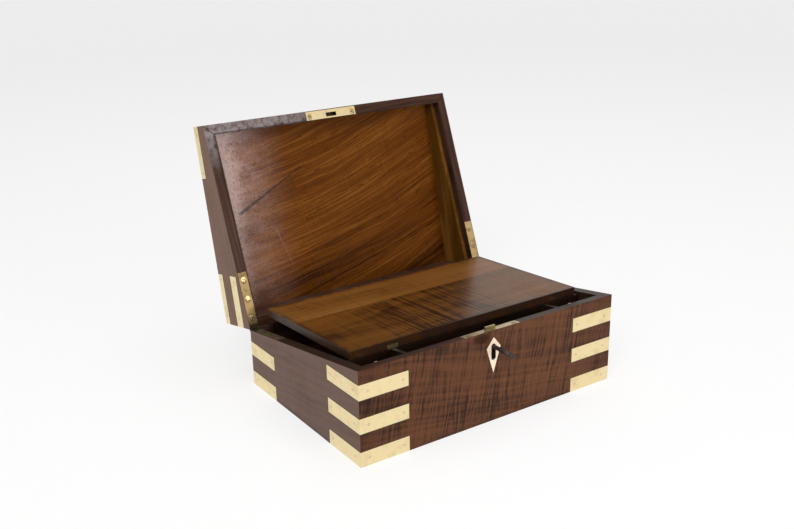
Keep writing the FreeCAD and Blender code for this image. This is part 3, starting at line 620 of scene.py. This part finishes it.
# Writing flap
# A walnut board on hinges over the stationery well. Its front band is strongly curled veneer, its rear
# band plainer and paler, with a dark worn edge all round and its edge faces painted darker as shade.
curled_tones = ((0.020, 0.006, 0.001, 1), (0.112, 0.041, 0.006, 1), (0.190, 0.078, 0.016, 1))
quiet_tones = ((0.050, 0.019, 0.004, 1), (0.160, 0.062, 0.012, 1), (0.230, 0.104, 0.030, 1))
CURL_CENTRE = -0.008
CURL_FADE = (0.015, 0.1, 0.98, 0.22)
CURLED_STRETCH = (1, 0.45, 1)
QUIET_PLACE = (0.7, 0.3, 0)
BAND_EDGE = (0.034, 0.035)
BAND_JOINT = 0.0345
BAND_JOINT_WIDTH = 0.00045
BAND_JOINT_SHARE = 0.6
BAND_JOINT_DARK = (0.02, 0.01, 0.006, 1)
FLAP_EDGE_SHADE = (0.28, 0.26, 0.26, 1)
FLAP_RUBBED = (0.001, 0.007, 1.0, 0.0)
FLAP_DIRT = 0.75
FLAP_DIRT_TINT = (0.018, 0.010, 0.007, 1)
FLAP_DULLING = 0.14
FLAP_GLOSS = 0.06
FLAP_POLISH = 0.3
FLAP_POLISH_ROUGHNESS = 0.2
FLAP_ARRIS = 0.0008
flap_low, flap_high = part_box("writing_flap")
flap_wood, tree, shader = material("walnut_flap")
place, face = shut_place(tree, False)
x, y = split(tree, place)[:2]
curl_gap = sums(tree, "ABSOLUTE", sums(tree, "SUBTRACT", x, CURL_CENTRE))
curled = figured(
    tree,
    stretched(tree, place, CURLED_STRETCH),
    curled_tones,
    curl=ramp(tree, curl_gap, *CURL_FADE),
    streak=0.5,
    rings=0.12,
    cloud=1.2,
    pores=0.5,
)
elsewhere = add(tree, "ShaderNodeMapping", {"Vector": place, "Location": QUIET_PLACE}).outputs[0]
quiet = figured(
    tree, elsewhere, quiet_tones, curl=0.25, streak=0.6, rings=0.1, cloud=1.2, pores=0.5
)
colour = blend(tree, ramp(tree, y, *BAND_EDGE), curled["Color"], quiet["Color"])
joint_gap = sums(tree, "ABSOLUTE", sums(tree, "SUBTRACT", y, BAND_JOINT))
joint = sums(tree, "LESS_THAN", joint_gap, BAND_JOINT_WIDTH)
colour = blend(tree, sums(tree, "MULTIPLY", joint, BAND_JOINT_SHARE), colour, BAND_JOINT_DARK)
# The flap's edge faces are painted darker than its top: painted shade.
edge_wood = blend(tree, 1.0, quiet["Color"], FLAP_EDGE_SHADE, "MULTIPLY")
colour = blend(tree, facing(tree, face, UPWARD), edge_wood, colour)
side_gap = sums(tree, "SUBTRACT", flap_high.x, sums(tree, "ABSOLUTE", x))
front_gap = sums(tree, "SUBTRACT", y, flap_low.y)
rear_gap = sums(tree, "SUBTRACT", flap_high.y, y)
edge_gap = sums(tree, "MINIMUM", side_gap, sums(tree, "MINIMUM", front_gap, rear_gap))
grime = soiled(tree, place, ramp(tree, edge_gap, *FLAP_RUBBED), FLAP_DIRT)
colour = blend(tree, grime["Dirt"], colour, FLAP_DIRT_TINT)
waxed(tree, shader, colour, curled, grime["Bloom"], FLAP_DULLING, FLAP_GLOSS)
shader.inputs["Coat Weight"].default_value = FLAP_POLISH
shader.inputs["Coat Roughness"].default_value = FLAP_POLISH_ROUGHNESS
wear(nodes["writing_flap"], flap_wood, FLAP_ARRIS)

# Brass fittings
# Corner straps, hinge leaves, lock and strike plates are rolled brass, filed flush with the wood and
# long since gone from polished to a soft satin with brown tarnish in the low places.
FLECK_LEVELS = (0.58, 0.72)
FLECK_SHARE = 0.5
TARNISH_LEVELS = (0.45, 0.75)
BRUSH_STRETCH = (120, 120, 2600)
SATIN_ROUGHNESS = 0.24
BRUSH_ROUGHNESS = 0.18
TARNISH_ROUGHNESS = 0.25
BRASS_HEIGHT = 0.4
tree, given, out = effect(
    "aged_brass",
    {"Vector": "v", "Bright": "c", "Tarnish": "c", "Amount": "f"},
    {"Color": "c", "Roughness": "f", "Height": "f"},
)
cloud = noise(tree, given["Vector"], scale=90.0, detail=6.0, rough=0.62)
fleck = noise(tree, given["Vector"], scale=900.0, detail=3.0, rough=0.6)
brushed = streaks(tree, given["Vector"], BRUSH_STRETCH, detail=3.0, rough=0.6)
fleck = ramp(tree, fleck, *FLECK_LEVELS)
stain = sums(tree, "MULTIPLY_ADD", fleck, FLECK_SHARE, ramp(tree, cloud, *TARNISH_LEVELS))
stain = sums(tree, "MULTIPLY", stain, given["Amount"])
tree.links.new(blend(tree, stain, given["Bright"], given["Tarnish"]), out["Color"])
satin = sums(tree, "MULTIPLY_ADD", brushed, BRUSH_ROUGHNESS, SATIN_ROUGHNESS)
tree.links.new(sums(tree, "MULTIPLY_ADD", stain, TARNISH_ROUGHNESS, satin), out["Roughness"])
dents = sums(tree, "MULTIPLY", cloud, BRASS_HEIGHT)
tree.links.new(sums(tree, "MULTIPLY_ADD", brushed, BRASS_HEIGHT, dents), out["Height"])
aged_brass = tree

KNUCKLE_REACH = (0.003, 0.010, 0.92, 0.0)
KNUCKLE_DIRT = (0.030, 0.024, 0.015, 1)
KNUCKLE_ROUGHNESS = 0.4
BRASS_STRENGTH = 0.08
BRASS_DEPTH = 0.0003


def brass(name, bright, tarnish, amount, dull=0.0, knuckles=False):
    """Aged sheet brass; with knuckles, dirt gathers towards the line the hinges turn about."""
    made, tree, shader = material(name)
    place = own_place(tree)
    metal = add(
        tree,
        "ShaderNodeGroup",
        {"Vector": place, "Bright": bright, "Tarnish": tarnish, "Amount": amount},
        node_tree=aged_brass,
    ).outputs
    colour = metal["Color"]
    rough = sums(tree, "ADD", metal["Roughness"], dull)
    if knuckles:
        arm = vectors(tree, "SUBTRACT", place, hinge_point)[0]
        arm = vectors(tree, "MULTIPLY", arm, (0, 1, 1))[0]
        gathered = ramp(tree, vectors(tree, "LENGTH", arm)["Value"], *KNUCKLE_REACH)
        colour = blend(tree, gathered, colour, KNUCKLE_DIRT)
        rough = sums(tree, "MULTIPLY_ADD", gathered, KNUCKLE_ROUGHNESS, rough)
    tree.links.new(colour, shader.inputs["Base Color"])
    tree.links.new(rough, shader.inputs["Roughness"])
    raised(tree, shader, metal["Height"], BRASS_STRENGTH, BRASS_DEPTH)
    shader.inputs["Metallic"].default_value = 1.0
    return made


strap_brass = brass("strap_brass", (0.86, 0.715, 0.41, 1), (0.50, 0.35, 0.16, 1), amount=0.32)
plate_brass = brass("plate_brass", (0.66, 0.53, 0.30, 1), (0.34, 0.24, 0.11, 1), amount=0.5)
selvedge_brass = brass("selvedge_brass", (0.55, 0.44, 0.26, 1), (0.24, 0.17, 0.09, 1), amount=0.6)
dull_brass = brass("dull_brass", (0.36, 0.30, 0.14, 1), (0.14, 0.11, 0.05, 1), amount=0.6)
screw_brass = brass("screw_brass", (0.50, 0.36, 0.17, 1), (0.16, 0.10, 0.04, 1), amount=0.6)
knob_brass = brass("knob_brass", (0.80, 0.60, 0.26, 1), (0.32, 0.20, 0.08, 1), amount=0.4)
hinge_brass = brass(
    "hinge_brass",
    (0.38, 0.27, 0.125, 1),
    (0.13, 0.08, 0.035, 1),
    amount=0.8,
    dull=0.16,
    knuckles=True,
)
# A darker copy of the hinge brass for the lid's left leaf, which faces the lights more: painted shade.
left_leaf_shaded_brass = brass(
    "left_leaf_shaded_brass",
    (0.27, 0.19, 0.085, 1),
    (0.09, 0.055, 0.024, 1),
    amount=0.8,
    dull=0.16,
    knuckles=True,
)
dirty_brass = brass(
    "dirty_brass",
    (0.19, 0.165, 0.10, 1),
    (0.022, 0.021, 0.014, 1),
    amount=1.5,
    dull=0.1,
    knuckles=True,
)
STRAP_ARRIS = 0.00025
PLATE_ARRIS = 0.0002
BOLT_ARRIS = 0.0004
KNOB_ARRIS = 0.0003
strap_names = [name for name in nodes if "_strap_" in name]
for name in strap_names:
    wear(nodes[name], strap_brass, STRAP_ARRIS)
lock_low, lock_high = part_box("lock_selvedge")
SELVEDGE_SMEAR = (-0.007, lock_low.y + 0.0005, lock_high.z - 0.0005)
SELVEDGE_SMEAR_SPREAD = (0.011, 0.0032, 0.004)
SELVEDGE_SMEAR_TINT = (0.060, 0.036, 0.030, 1)
smear(selvedge_brass, SELVEDGE_SMEAR, SELVEDGE_SMEAR_SPREAD, SELVEDGE_SMEAR_TINT)
wear(nodes["lock_selvedge"], selvedge_brass, PLATE_ARRIS)
wear(nodes["strike_plate"], plate_brass, PLATE_ARRIS)
wear(nodes["flap_catch"], dull_brass, PLATE_ARRIS)
wear(nodes["lock_bolt"], dull_brass, BOLT_ARRIS)
wear(nodes["lid_hinge_leaf_left"], left_leaf_shaded_brass, PLATE_ARRIS)
wear(nodes["base_hinge_leaf_left"], dirty_brass, PLATE_ARRIS)
for name in ("lid_hinge_leaf_right", "base_hinge_leaf_right"):
    wear(nodes[name], hinge_brass, PLATE_ARRIS)
for name in ("flap_board_leaves", "flap_rail_leaves", "flap_hinge_pins"):
    wear(nodes[name], dull_brass, 0.0)
wear(nodes["hinge_pins"], dirty_brass, 0.0)
for name in ("base_hinge_screws", "lid_hinge_screws", "selvedge_screws", "strike_screws"):
    wear(nodes[name], screw_brass, 0.0)
for side in ("left", "right"):
    knob = nodes["ink_box_knob_" + side]
    wear(knob, knob_brass, KNOB_ARRIS)
    for polygon in knob.data.polygons:
        polygon.use_smooth = True

# Strap pins
# Each leg of a strap is held by brass pins driven near its ends, filed flush and polished over, so they
# show only as faint round dots with a dark rim.
pin_brass = brass("pin_brass", (0.80, 0.65, 0.38, 1), (0.42, 0.30, 0.15, 1), amount=0.4)
PIN_RADIUS = 0.0011
PIN_PROUD = 0.00006
PIN_LENGTH = 0.0005
PIN_SIDES = 14
PIN_TAPER = 0.85
PIN_INSET = 0.006
CORNER_INSET = 0.0096
about_hinge = Matrix.Translation(hinge_point)
shutting = about_hinge @ Matrix.Rotation(lid_swing, 4, "X") @ about_hinge.inverted()
opening = shutting.inverted()
turned = opening.to_3x3()


def fit_piece(name, mesh, finish, body):
    """Makes a piece of a built mesh, in a finish, on the body that it is fixed to."""
    bmesh.ops.recalc_face_normals(mesh, faces=mesh.faces)
    data = bpy.data.meshes.new(name)
    mesh.to_mesh(data)
    mesh.free()
    data.materials.append(finish)
    made = bpy.data.objects.new(name, data)
    bpy.context.scene.collection.objects.link(made)
    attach(made, body)


def pins(mesh, spots):
    """Slightly tapered pins, each driven at a place along a facing direction."""
    for place, direction in spots:
        turn = direction.to_track_quat("Z", "Y").to_matrix().to_4x4()
        middle = place + direction * (PIN_PROUD - PIN_LENGTH / 2)
        bmesh.ops.create_cone(
            mesh,
            cap_ends=True,
            segments=PIN_SIDES,
            radius1=PIN_RADIUS,
            radius2=PIN_RADIUS * PIN_TAPER,
            depth=PIN_LENGTH,
            matrix=Matrix.Translation(middle) @ turn,
        )


def shut_box(name):
    """A lid node's lowest and highest corners with the lid shut."""
    points = [shutting @ v.co for v in nodes[name].data.vertices]
    low = Vector([min(p[i] for p in points) for i in range(3)])
    high = Vector([max(p[i] for p in points) for i in range(3)])
    return low, high


def strap_legs(half):
    """Each strap leg of a half, shut: corner, run, outward side, length, lower and upper level."""
    for name in strap_names:
        if name.split("_")[0] != half:
            continue
        low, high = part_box(name) if half == "base" else shut_box(name)
        side = 1 if high.x > 0 else -1
        end = 1 if high.y > 0 else -1
        corner = Vector((high.x if side > 0 else low.x, high.y if end > 0 else low.y, 0))
        yield corner, Vector((-side, 0, 0)), Vector((0, end, 0)), high.x - low.x, low.z, high.z
        yield corner, Vector((0, -end, 0)), Vector((side, 0, 0)), high.y - low.y, low.z, high.z


pin_spots = {"base": [], "lid": []}
for half, spots in pin_spots.items():
    for corner, away, outward, reach, under, over in strap_legs(half):
        for along in (CORNER_INSET, reach - PIN_INSET):
            place = corner + away * along + Vector((0, 0, (under + over) / 2))
            if half == "lid":
                spots.append((opening @ place, turned @ outward))
            else:
                spots.append((place, outward))
    mesh = bmesh.new()
    pins(mesh, spots)
    fit_piece("%s_strap_pins" % half, mesh, pin_brass, half)

# Strap lines
# A hair of old wax and dirt has settled in the joint between each strap and the wood it is let into,
# and round its pins, and draws a thin dark line about the brass.
LINE_WIDTH = 0.0005
LINE_PROUD = 0.00005
LINE_DEPTH = 0.0003
RING_STEPS = 16
PIN_RING_WIDTH = 0.0001
LINE_DARK = (0.010, 0.006, 0.004, 1)
LINE_PALE = (0.055, 0.036, 0.020, 1)
LINE_ROUGHNESS = 0.75
LINE_MOTTLE = 0.2
# Dark material for the dirt in the strap joints, and for the hinge line rod, where it is painted shade.
joint_dirt_and_shade, tree, shader = material("joint_dirt_and_shade")
dust = noise(tree, own_place(tree), scale=700.0)
tree.links.new(blend(tree, dust, LINE_DARK, LINE_PALE), shader.inputs["Base Color"])
rough = sums(tree, "MULTIPLY_ADD", dust, LINE_MOTTLE, LINE_ROUGHNESS)
tree.links.new(rough, shader.inputs["Roughness"])
box_top = shut_box("lid_top")[1].z


def band(mesh, centre, axis, radius, width):
    """A thin closed ring round an axis, sunk in the surface it lies on."""
    turn = axis.to_track_quat("Z", "Y").to_matrix()
    sink = axis * LINE_DEPTH
    sections = []
    for step in range(RING_STEPS):
        angle = 2 * math.pi * step / RING_STEPS
        spoke = turn @ Vector((math.cos(angle), math.sin(angle), 0))
        near = centre + spoke * (radius - width / 2)
        far = centre + spoke * (radius + width / 2)
        sections.append([mesh.verts.new(point) for point in (near, far, far - sink, near - sink)])
    for step, section in enumerate(sections):
        following = sections[(step + 1) % RING_STEPS]
        for corner in range(len(section)):
            after = (corner + 1) % len(section)
            mesh.faces.new((section[corner], section[after], following[after], following[corner]))


for half, spots in pin_spots.items():
    mesh = bmesh.new()
    for corner, away, outward, reach, under, over in strap_legs(half):
        axes = Matrix((away, outward, Vector(UPWARD))).transposed().to_4x4()
        spans = [(reach - LINE_WIDTH / 2, reach + LINE_WIDTH / 2, under, over)]
        if over < box_top - LINE_WIDTH:
            spans.append((0, reach, over - LINE_WIDTH / 2, over + LINE_WIDTH / 2))
        if under > LINE_WIDTH:
            spans.append((0, reach, under - LINE_WIDTH / 2, under + LINE_WIDTH / 2))
        for near, far, bottom, top in spans:
            middle = corner + away * ((near + far) / 2) + outward * (LINE_PROUD - LINE_DEPTH / 2)
            middle.z = (bottom + top) / 2
            strip = axes @ Matrix.Diagonal((far - near, LINE_DEPTH, top - bottom, 1))
            strip = Matrix.Translation(middle) @ strip
            if half == "lid":
                strip = opening @ strip
            bmesh.ops.create_cube(mesh, size=1, matrix=strip)
    for place, direction in spots:
        band(mesh, place + direction * LINE_PROUD, direction, PIN_RADIUS, PIN_RING_WIDTH)
    fit_piece("%s_strap_lines" % half, mesh, joint_dirt_and_shade, half)

# Screw slots
# Countersunk screws hold the hinge leaves and the lock plates. Their driver slots and the joints round
# their heads are drawn dark, as old dirt with painted shade in the gaps, and the slots point every way.
SLOT_LENGTH = 0.0044
SLOT_WIDTH = 0.0007
SLOT_DEPTH = 0.0003
SLOT_ROUGHNESS = 0.9
SLOT_DARK = (0.006, 0.004, 0.003, 1)
SLOT_PALE = (0.035, 0.026, 0.018, 1)
SLOT_MARK_PROUD = 0.00004
SCREW_RING_WIDTH = 0.0005
FIRST_SPIN = 0.9
SPIN_STEP = 1.7
SAME_POINT = 1e-6
SAME_LEVEL = 1e-5
slot_dirt_and_shade, tree, shader = material("slot_dirt_and_shade")
dust = noise(tree, own_place(tree), scale=1500.0, detail=3.0)
tree.links.new(blend(tree, dust, SLOT_DARK, SLOT_PALE), shader.inputs["Base Color"])
shader.inputs["Roughness"].default_value = SLOT_ROUGHNESS


def separate_parts(mesh):
    """The vertices of each loose part of a mesh, in turn."""
    seen = set()
    for first in list(mesh.verts):
        if first in seen:
            continue
        seen.add(first)
        part = [first]
        for vertex in part:
            for edge in vertex.link_edges:
                other = edge.other_vert(vertex)
                if other not in seen:
                    seen.add(other)
                    part.append(other)
        yield part


def slots(name, body, node, normal):
    """A dark bar across each screw head of a node and a dark ring round it, just proud of it."""
    turn = normal.to_track_quat("Z", "Y").to_matrix().to_4x4()
    bar = Matrix.Diagonal((SLOT_LENGTH, SLOT_WIDTH, SLOT_DEPTH, 1))
    screws = bmesh.new()
    screws.from_mesh(nodes[node].data)
    bmesh.ops.remove_doubles(screws, verts=screws.verts, dist=SAME_POINT)
    mesh = bmesh.new()
    for number, part in enumerate(separate_parts(screws)):
        top = max(v.co.dot(normal) for v in part)
        head = [v.co for v in part if v.co.dot(normal) > top - SAME_LEVEL]
        centre = sum(head, Vector()) / len(head)
        radius = max((point - centre).length for point in head)
        face = centre + normal * SLOT_MARK_PROUD
        spin = Matrix.Rotation(FIRST_SPIN + SPIN_STEP * number, 4, "Z")
        middle = face - normal * (SLOT_DEPTH / 2)
        bmesh.ops.create_cube(mesh, size=1, matrix=Matrix.Translation(middle) @ turn @ spin @ bar)
        # The dark ring round each head is dirt and painted shade in the countersink gap.
        band(mesh, face, normal, radius, SCREW_RING_WIDTH)
    screws.free()
    fit_piece(name, mesh, slot_dirt_and_shade, body)


rim_lean = math.atan2(rim_front - rim_rear, 2 * half_depth)
base_rim_up = Vector((0, math.sin(rim_lean), math.cos(rim_lean)))
lid_rim_out = turned @ -base_rim_up
slots("base_hinge_screw_slots", "base", "base_hinge_screws", base_rim_up)
slots("selvedge_screw_slots", "base", "selvedge_screws", base_rim_up)
slots("lid_hinge_screw_slots", "lid", "lid_hinge_screws", lid_rim_out)
slots("strike_screw_slots", "lid", "strike_screws", lid_rim_out)

# Hinge line
# A thin dark rod along the line that the hinges turn about, between and beside the leaves, is a dark
# piece put where there is only shade: it keeps light from showing between the lid and the base.
SHADE_ROD_RADIUS = 0.00026
SHADE_ROD_SIDES = 12
left_leaf, right_leaf = [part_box("base_hinge_leaf_" + side) for side in ("left", "right")]
stretches = (
    (-half_length + LINE_WIDTH, left_leaf[0].x),
    (left_leaf[1].x, right_leaf[0].x),
    (right_leaf[1].x, half_length - LINE_WIDTH),
)
mesh = bmesh.new()
for start, end in stretches:
    if end - start > LINE_WIDTH:
        middle = Vector(((start + end) / 2, hinge_point.y, hinge_point.z))
        bmesh.ops.create_cone(
            mesh,
            cap_ends=True,
            segments=SHADE_ROD_SIDES,
            radius1=SHADE_ROD_RADIUS,
            radius2=SHADE_ROD_RADIUS,
            depth=end - start,
            matrix=Matrix.Translation(middle) @ Matrix.Rotation(math.pi / 2, 4, "Y"),
        )
fit_piece("hinge_line_shade_rod", mesh, joint_dirt_and_shade, "base")

# Keyhole escutcheon
# A kite of bone, sawn thin and let into the front veneer round the keyhole. It has yellowed, with fine
# marrow lines along it, and is darker round the hole with dirt and painted shade.
BONE_PALE = (0.84, 0.71, 0.54, 1)
BONE_LINE = (0.58, 0.43, 0.26, 1)
BONE_YELLOW = (0.74, 0.58, 0.36, 1)
MARROW_STRETCH = (1500, 1500, 60)
MARROW_LEVELS = (0.5, 0.75)
YELLOW_LEVELS = (0.45, 0.8, 0.0, 0.5)
BONE_ROUGHNESS = 0.3
MARROW_ROUGHNESS = 0.2
MARROW_STRENGTH = 0.1
MARROW_DEPTH = 0.0002
KEYHOLE_DIRT_AND_SHADE = (0.012, 0.008, 0.005, 1)
KEYHOLE_LENGTH = 0.0112
KEYHOLE_EDGE = (0.0025, 0.0031)
bone, tree, shader = material("bone")
place, face = shut_place(tree, False)
lines = streaks(tree, place, MARROW_STRETCH, rough=0.6)
cloud = noise(tree, place, scale=160.0)
colour = blend(tree, ramp(tree, lines, *MARROW_LEVELS), BONE_PALE, BONE_LINE)
colour = blend(tree, ramp(tree, cloud, *YELLOW_LEVELS), colour, BONE_YELLOW)
key_turn = next(j for j in frame["joints"] if j["name"] == "key_turn")
# Darkens the bone round the keyhole: dirt and painted shade at the hole.
sideways, _, upwards = split(tree, vectors(tree, "SUBTRACT", place, key_turn["pos_m"])[0])
within = sums(tree, "MINIMUM", sums(tree, "MAXIMUM", upwards, -KEYHOLE_LENGTH), 0.0)
past = sums(tree, "SUBTRACT", upwards, within)
gap = sums(tree, "MULTIPLY_ADD", sideways, sideways, sums(tree, "MULTIPLY", past, past))
clear = ramp(tree, sums(tree, "SQRT", gap), *KEYHOLE_EDGE)
clear_of_hole = sums(tree, "MULTIPLY", facing(tree, face, FORWARD), clear)
colour = blend(tree, clear_of_hole, KEYHOLE_DIRT_AND_SHADE, colour)
tree.links.new(colour, shader.inputs["Base Color"])
rough = sums(tree, "MULTIPLY_ADD", lines, MARROW_ROUGHNESS, BONE_ROUGHNESS)
tree.links.new(rough, shader.inputs["Roughness"])
raised(tree, shader, lines, MARROW_STRENGTH, MARROW_DEPTH)
shader.inputs["Subsurface Weight"].default_value = 0.1
shader.inputs["Subsurface Radius"].default_value = (0.002, 0.001, 0.0006)
wear(nodes["keyhole_escutcheon"], bone, PLATE_ARRIS)

# Lock case and key
# The lock's case is sheet iron, let in behind the front board under its brass plate. The key is forged
# iron with a ring bow. Both are dark with old oil and a little brown rust.
IRON_OILED = (0.030, 0.027, 0.026, 1)
IRON_RUST = (0.085, 0.052, 0.034, 1)
RUST_LEVELS = (0.4, 0.7)
IRON_ROUGHNESS = 0.3
RUST_ROUGHNESS = 0.3
PIT_STRENGTH = 0.3
PIT_DEPTH = 0.0002
KEY_ARRIS = 0.0003
iron, tree, shader = material("oiled_iron")
place = own_place(tree)
cloud = noise(tree, place, scale=220.0, detail=5.0, rough=0.65)
pits = noise(tree, place, scale=1400.0, detail=3.0, rough=0.6)
colour = blend(tree, ramp(tree, cloud, *RUST_LEVELS), IRON_OILED, IRON_RUST)
tree.links.new(colour, shader.inputs["Base Color"])
rough = sums(tree, "MULTIPLY_ADD", cloud, RUST_ROUGHNESS, IRON_ROUGHNESS)
tree.links.new(rough, shader.inputs["Roughness"])
raised(tree, shader, pits, PIT_STRENGTH, PIT_DEPTH)
shader.inputs["Metallic"].default_value = 0.8
wear(nodes["lock_case"], iron, 0.0)
wear(nodes["key"], iron, KEY_ARRIS)

# Floor, backdrop and light
# A plain pale sweep of paper lies under the box and rises behind it, with soft light from the upper
# left front, a smaller light low on the right and one overhead.
FLOOR_RADIUS = 2.6
RISE_RADIUS = 1.2
FLOOR_STEPS = 64
RISE_STEPS = 10
FLOOR_DROP = -0.0002
PAPER_GREY = (0.84, 0.84, 0.84, 1)
PAPER_PALE = (0.88, 0.88, 0.88, 1)
PAPER_ROUGHNESS = 0.9
PAPER_GLOW = 0.7
WHITE = (1, 1, 1, 1)


def seen_rays(tree):
    """Where a ray comes from the eye, or from a reflection or clear piece that the eye sees."""
    rays = add(tree, "ShaderNodeLightPath").outputs
    seen = sums(tree, "MAXIMUM", rays["Is Camera Ray"], rays["Is Glossy Ray"])
    return sums(tree, "MAXIMUM", seen, rays["Is Transmission Ray"])


pale, tree, shader = material("pale_paper")
grain = noise(tree, own_place(tree), scale=30.0, detail=2.0)
tree.links.new(blend(tree, grain, PAPER_GREY, PAPER_PALE), shader.inputs["Base Color"])
shader.inputs["Roughness"].default_value = PAPER_ROUGHNESS
glow = add(tree, "ShaderNodeEmission", {"Color": WHITE, "Strength": 1.0})
share = sums(tree, "MULTIPLY", seen_rays(tree), PAPER_GLOW)
sheet = add(tree, "ShaderNodeMixShader", {0: share, 1: shader.outputs[0], 2: glow.outputs[0]})
tree.links.new(sheet.outputs[0], tree.nodes["Material Output"].inputs["Surface"])
mesh = bmesh.new()
middle = mesh.verts.new((0, 0, FLOOR_DROP))
rings = []
for rise in range(RISE_STEPS + 1):
    angle = math.pi / 2 * rise / RISE_STEPS
    reach = FLOOR_RADIUS + RISE_RADIUS * math.sin(angle)
    lift = RISE_RADIUS * (1 - math.cos(angle)) + FLOOR_DROP
    ring = []
    for step in range(FLOOR_STEPS):
        angle = 2 * math.pi * step / FLOOR_STEPS
        ring.append(mesh.verts.new((reach * math.cos(angle), reach * math.sin(angle), lift)))
    rings.append(ring)
for step in range(FLOOR_STEPS):
    after = (step + 1) % FLOOR_STEPS
    mesh.faces.new((middle, rings[0][step], rings[0][after]))
    for lower, upper in zip(rings, rings[1:]):
        mesh.faces.new((lower[step], upper[step], upper[after], lower[after]))
data = bpy.data.meshes.new("paper_sweep")
mesh.to_mesh(data)
mesh.free()
for polygon in data.polygons:
    polygon.use_smooth = True
data.materials.append(pale)
sweep = bpy.data.objects.new("paper_sweep", data)
bpy.context.scene.collection.objects.link(sweep)

ROOM_LIGHT = 0.36
ROOM_GLOW = 0.6
LIGHT_TARGET = Vector((0.0, 0.02, 0.1))
world = bpy.data.worlds.new("soft_room")
bpy.context.scene.world = world
world.use_nodes = True
room = world.node_tree
background = room.nodes["Background"]
background.inputs["Color"].default_value = WHITE
strength = sums(room, "MULTIPLY_ADD", seen_rays(room), ROOM_GLOW, ROOM_LIGHT)
room.links.new(strength, background.inputs["Strength"])
for name, spot, size, power, tint in (
    ("window_light", (-1.5, -1.3, 1.7), 1.3, 36.0, (1.0, 0.98, 0.96)),
    ("doorway_light", (0.44, -1.6, 0.5), 0.5, 9.0, (1.0, 0.94, 0.96)),
    ("top_light", (0.2, 0.1, 2.0), 1.6, 16.0, (1.0, 1.0, 1.0)),
):
    lamp = bpy.data.lights.new(name, "AREA")
    lamp.size = size
    lamp.energy = power
    lamp.color = tint
    holder = bpy.data.objects.new(name, lamp)
    holder.location = spot
    holder.rotation_mode = "QUATERNION"
    holder.rotation_quaternion = (LIGHT_TARGET - Vector(spot)).to_track_quat("-Z", "Y")
    bpy.context.scene.collection.objects.link(holder)

# Camera
# Set where the photograph was taken from: to the left of the front, higher than the open lid, looking
# down into the box.
CAMERA_PLACE = Vector((-0.5591, -0.7849, 0.4726))
CAMERA_TARGET = Vector((-0.0213, -0.0108, 0.1272))
CAMERA_ROLL = math.radians(-0.759)
PHOTO_WIDTH = 794
FOCAL_PIXELS = 1013.46
lens = bpy.data.cameras.new("camera")
lens.sensor_width = 36.0
lens.lens = lens.sensor_width * FOCAL_PIXELS / PHOTO_WIDTH
lens.shift_x = -0.0271
lens.shift_y = 0.0125
camera = bpy.data.objects.new("camera", lens)
bpy.context.scene.collection.objects.link(camera)
sight = (CAMERA_TARGET - CAMERA_PLACE).normalized()
right = sight.cross(Vector(UPWARD)).normalized()
up = right.cross(sight)
rolled_right = right * math.cos(CAMERA_ROLL) + up * math.sin(CAMERA_ROLL)
rolled_up = up * math.cos(CAMERA_ROLL) - right * math.sin(CAMERA_ROLL)
turn = Matrix((rolled_right, rolled_up, -sight)).transposed()
camera.matrix_world = Matrix.Translation(CAMERA_PLACE) @ turn.to_4x4()
bpy.context.scene.camera = camera
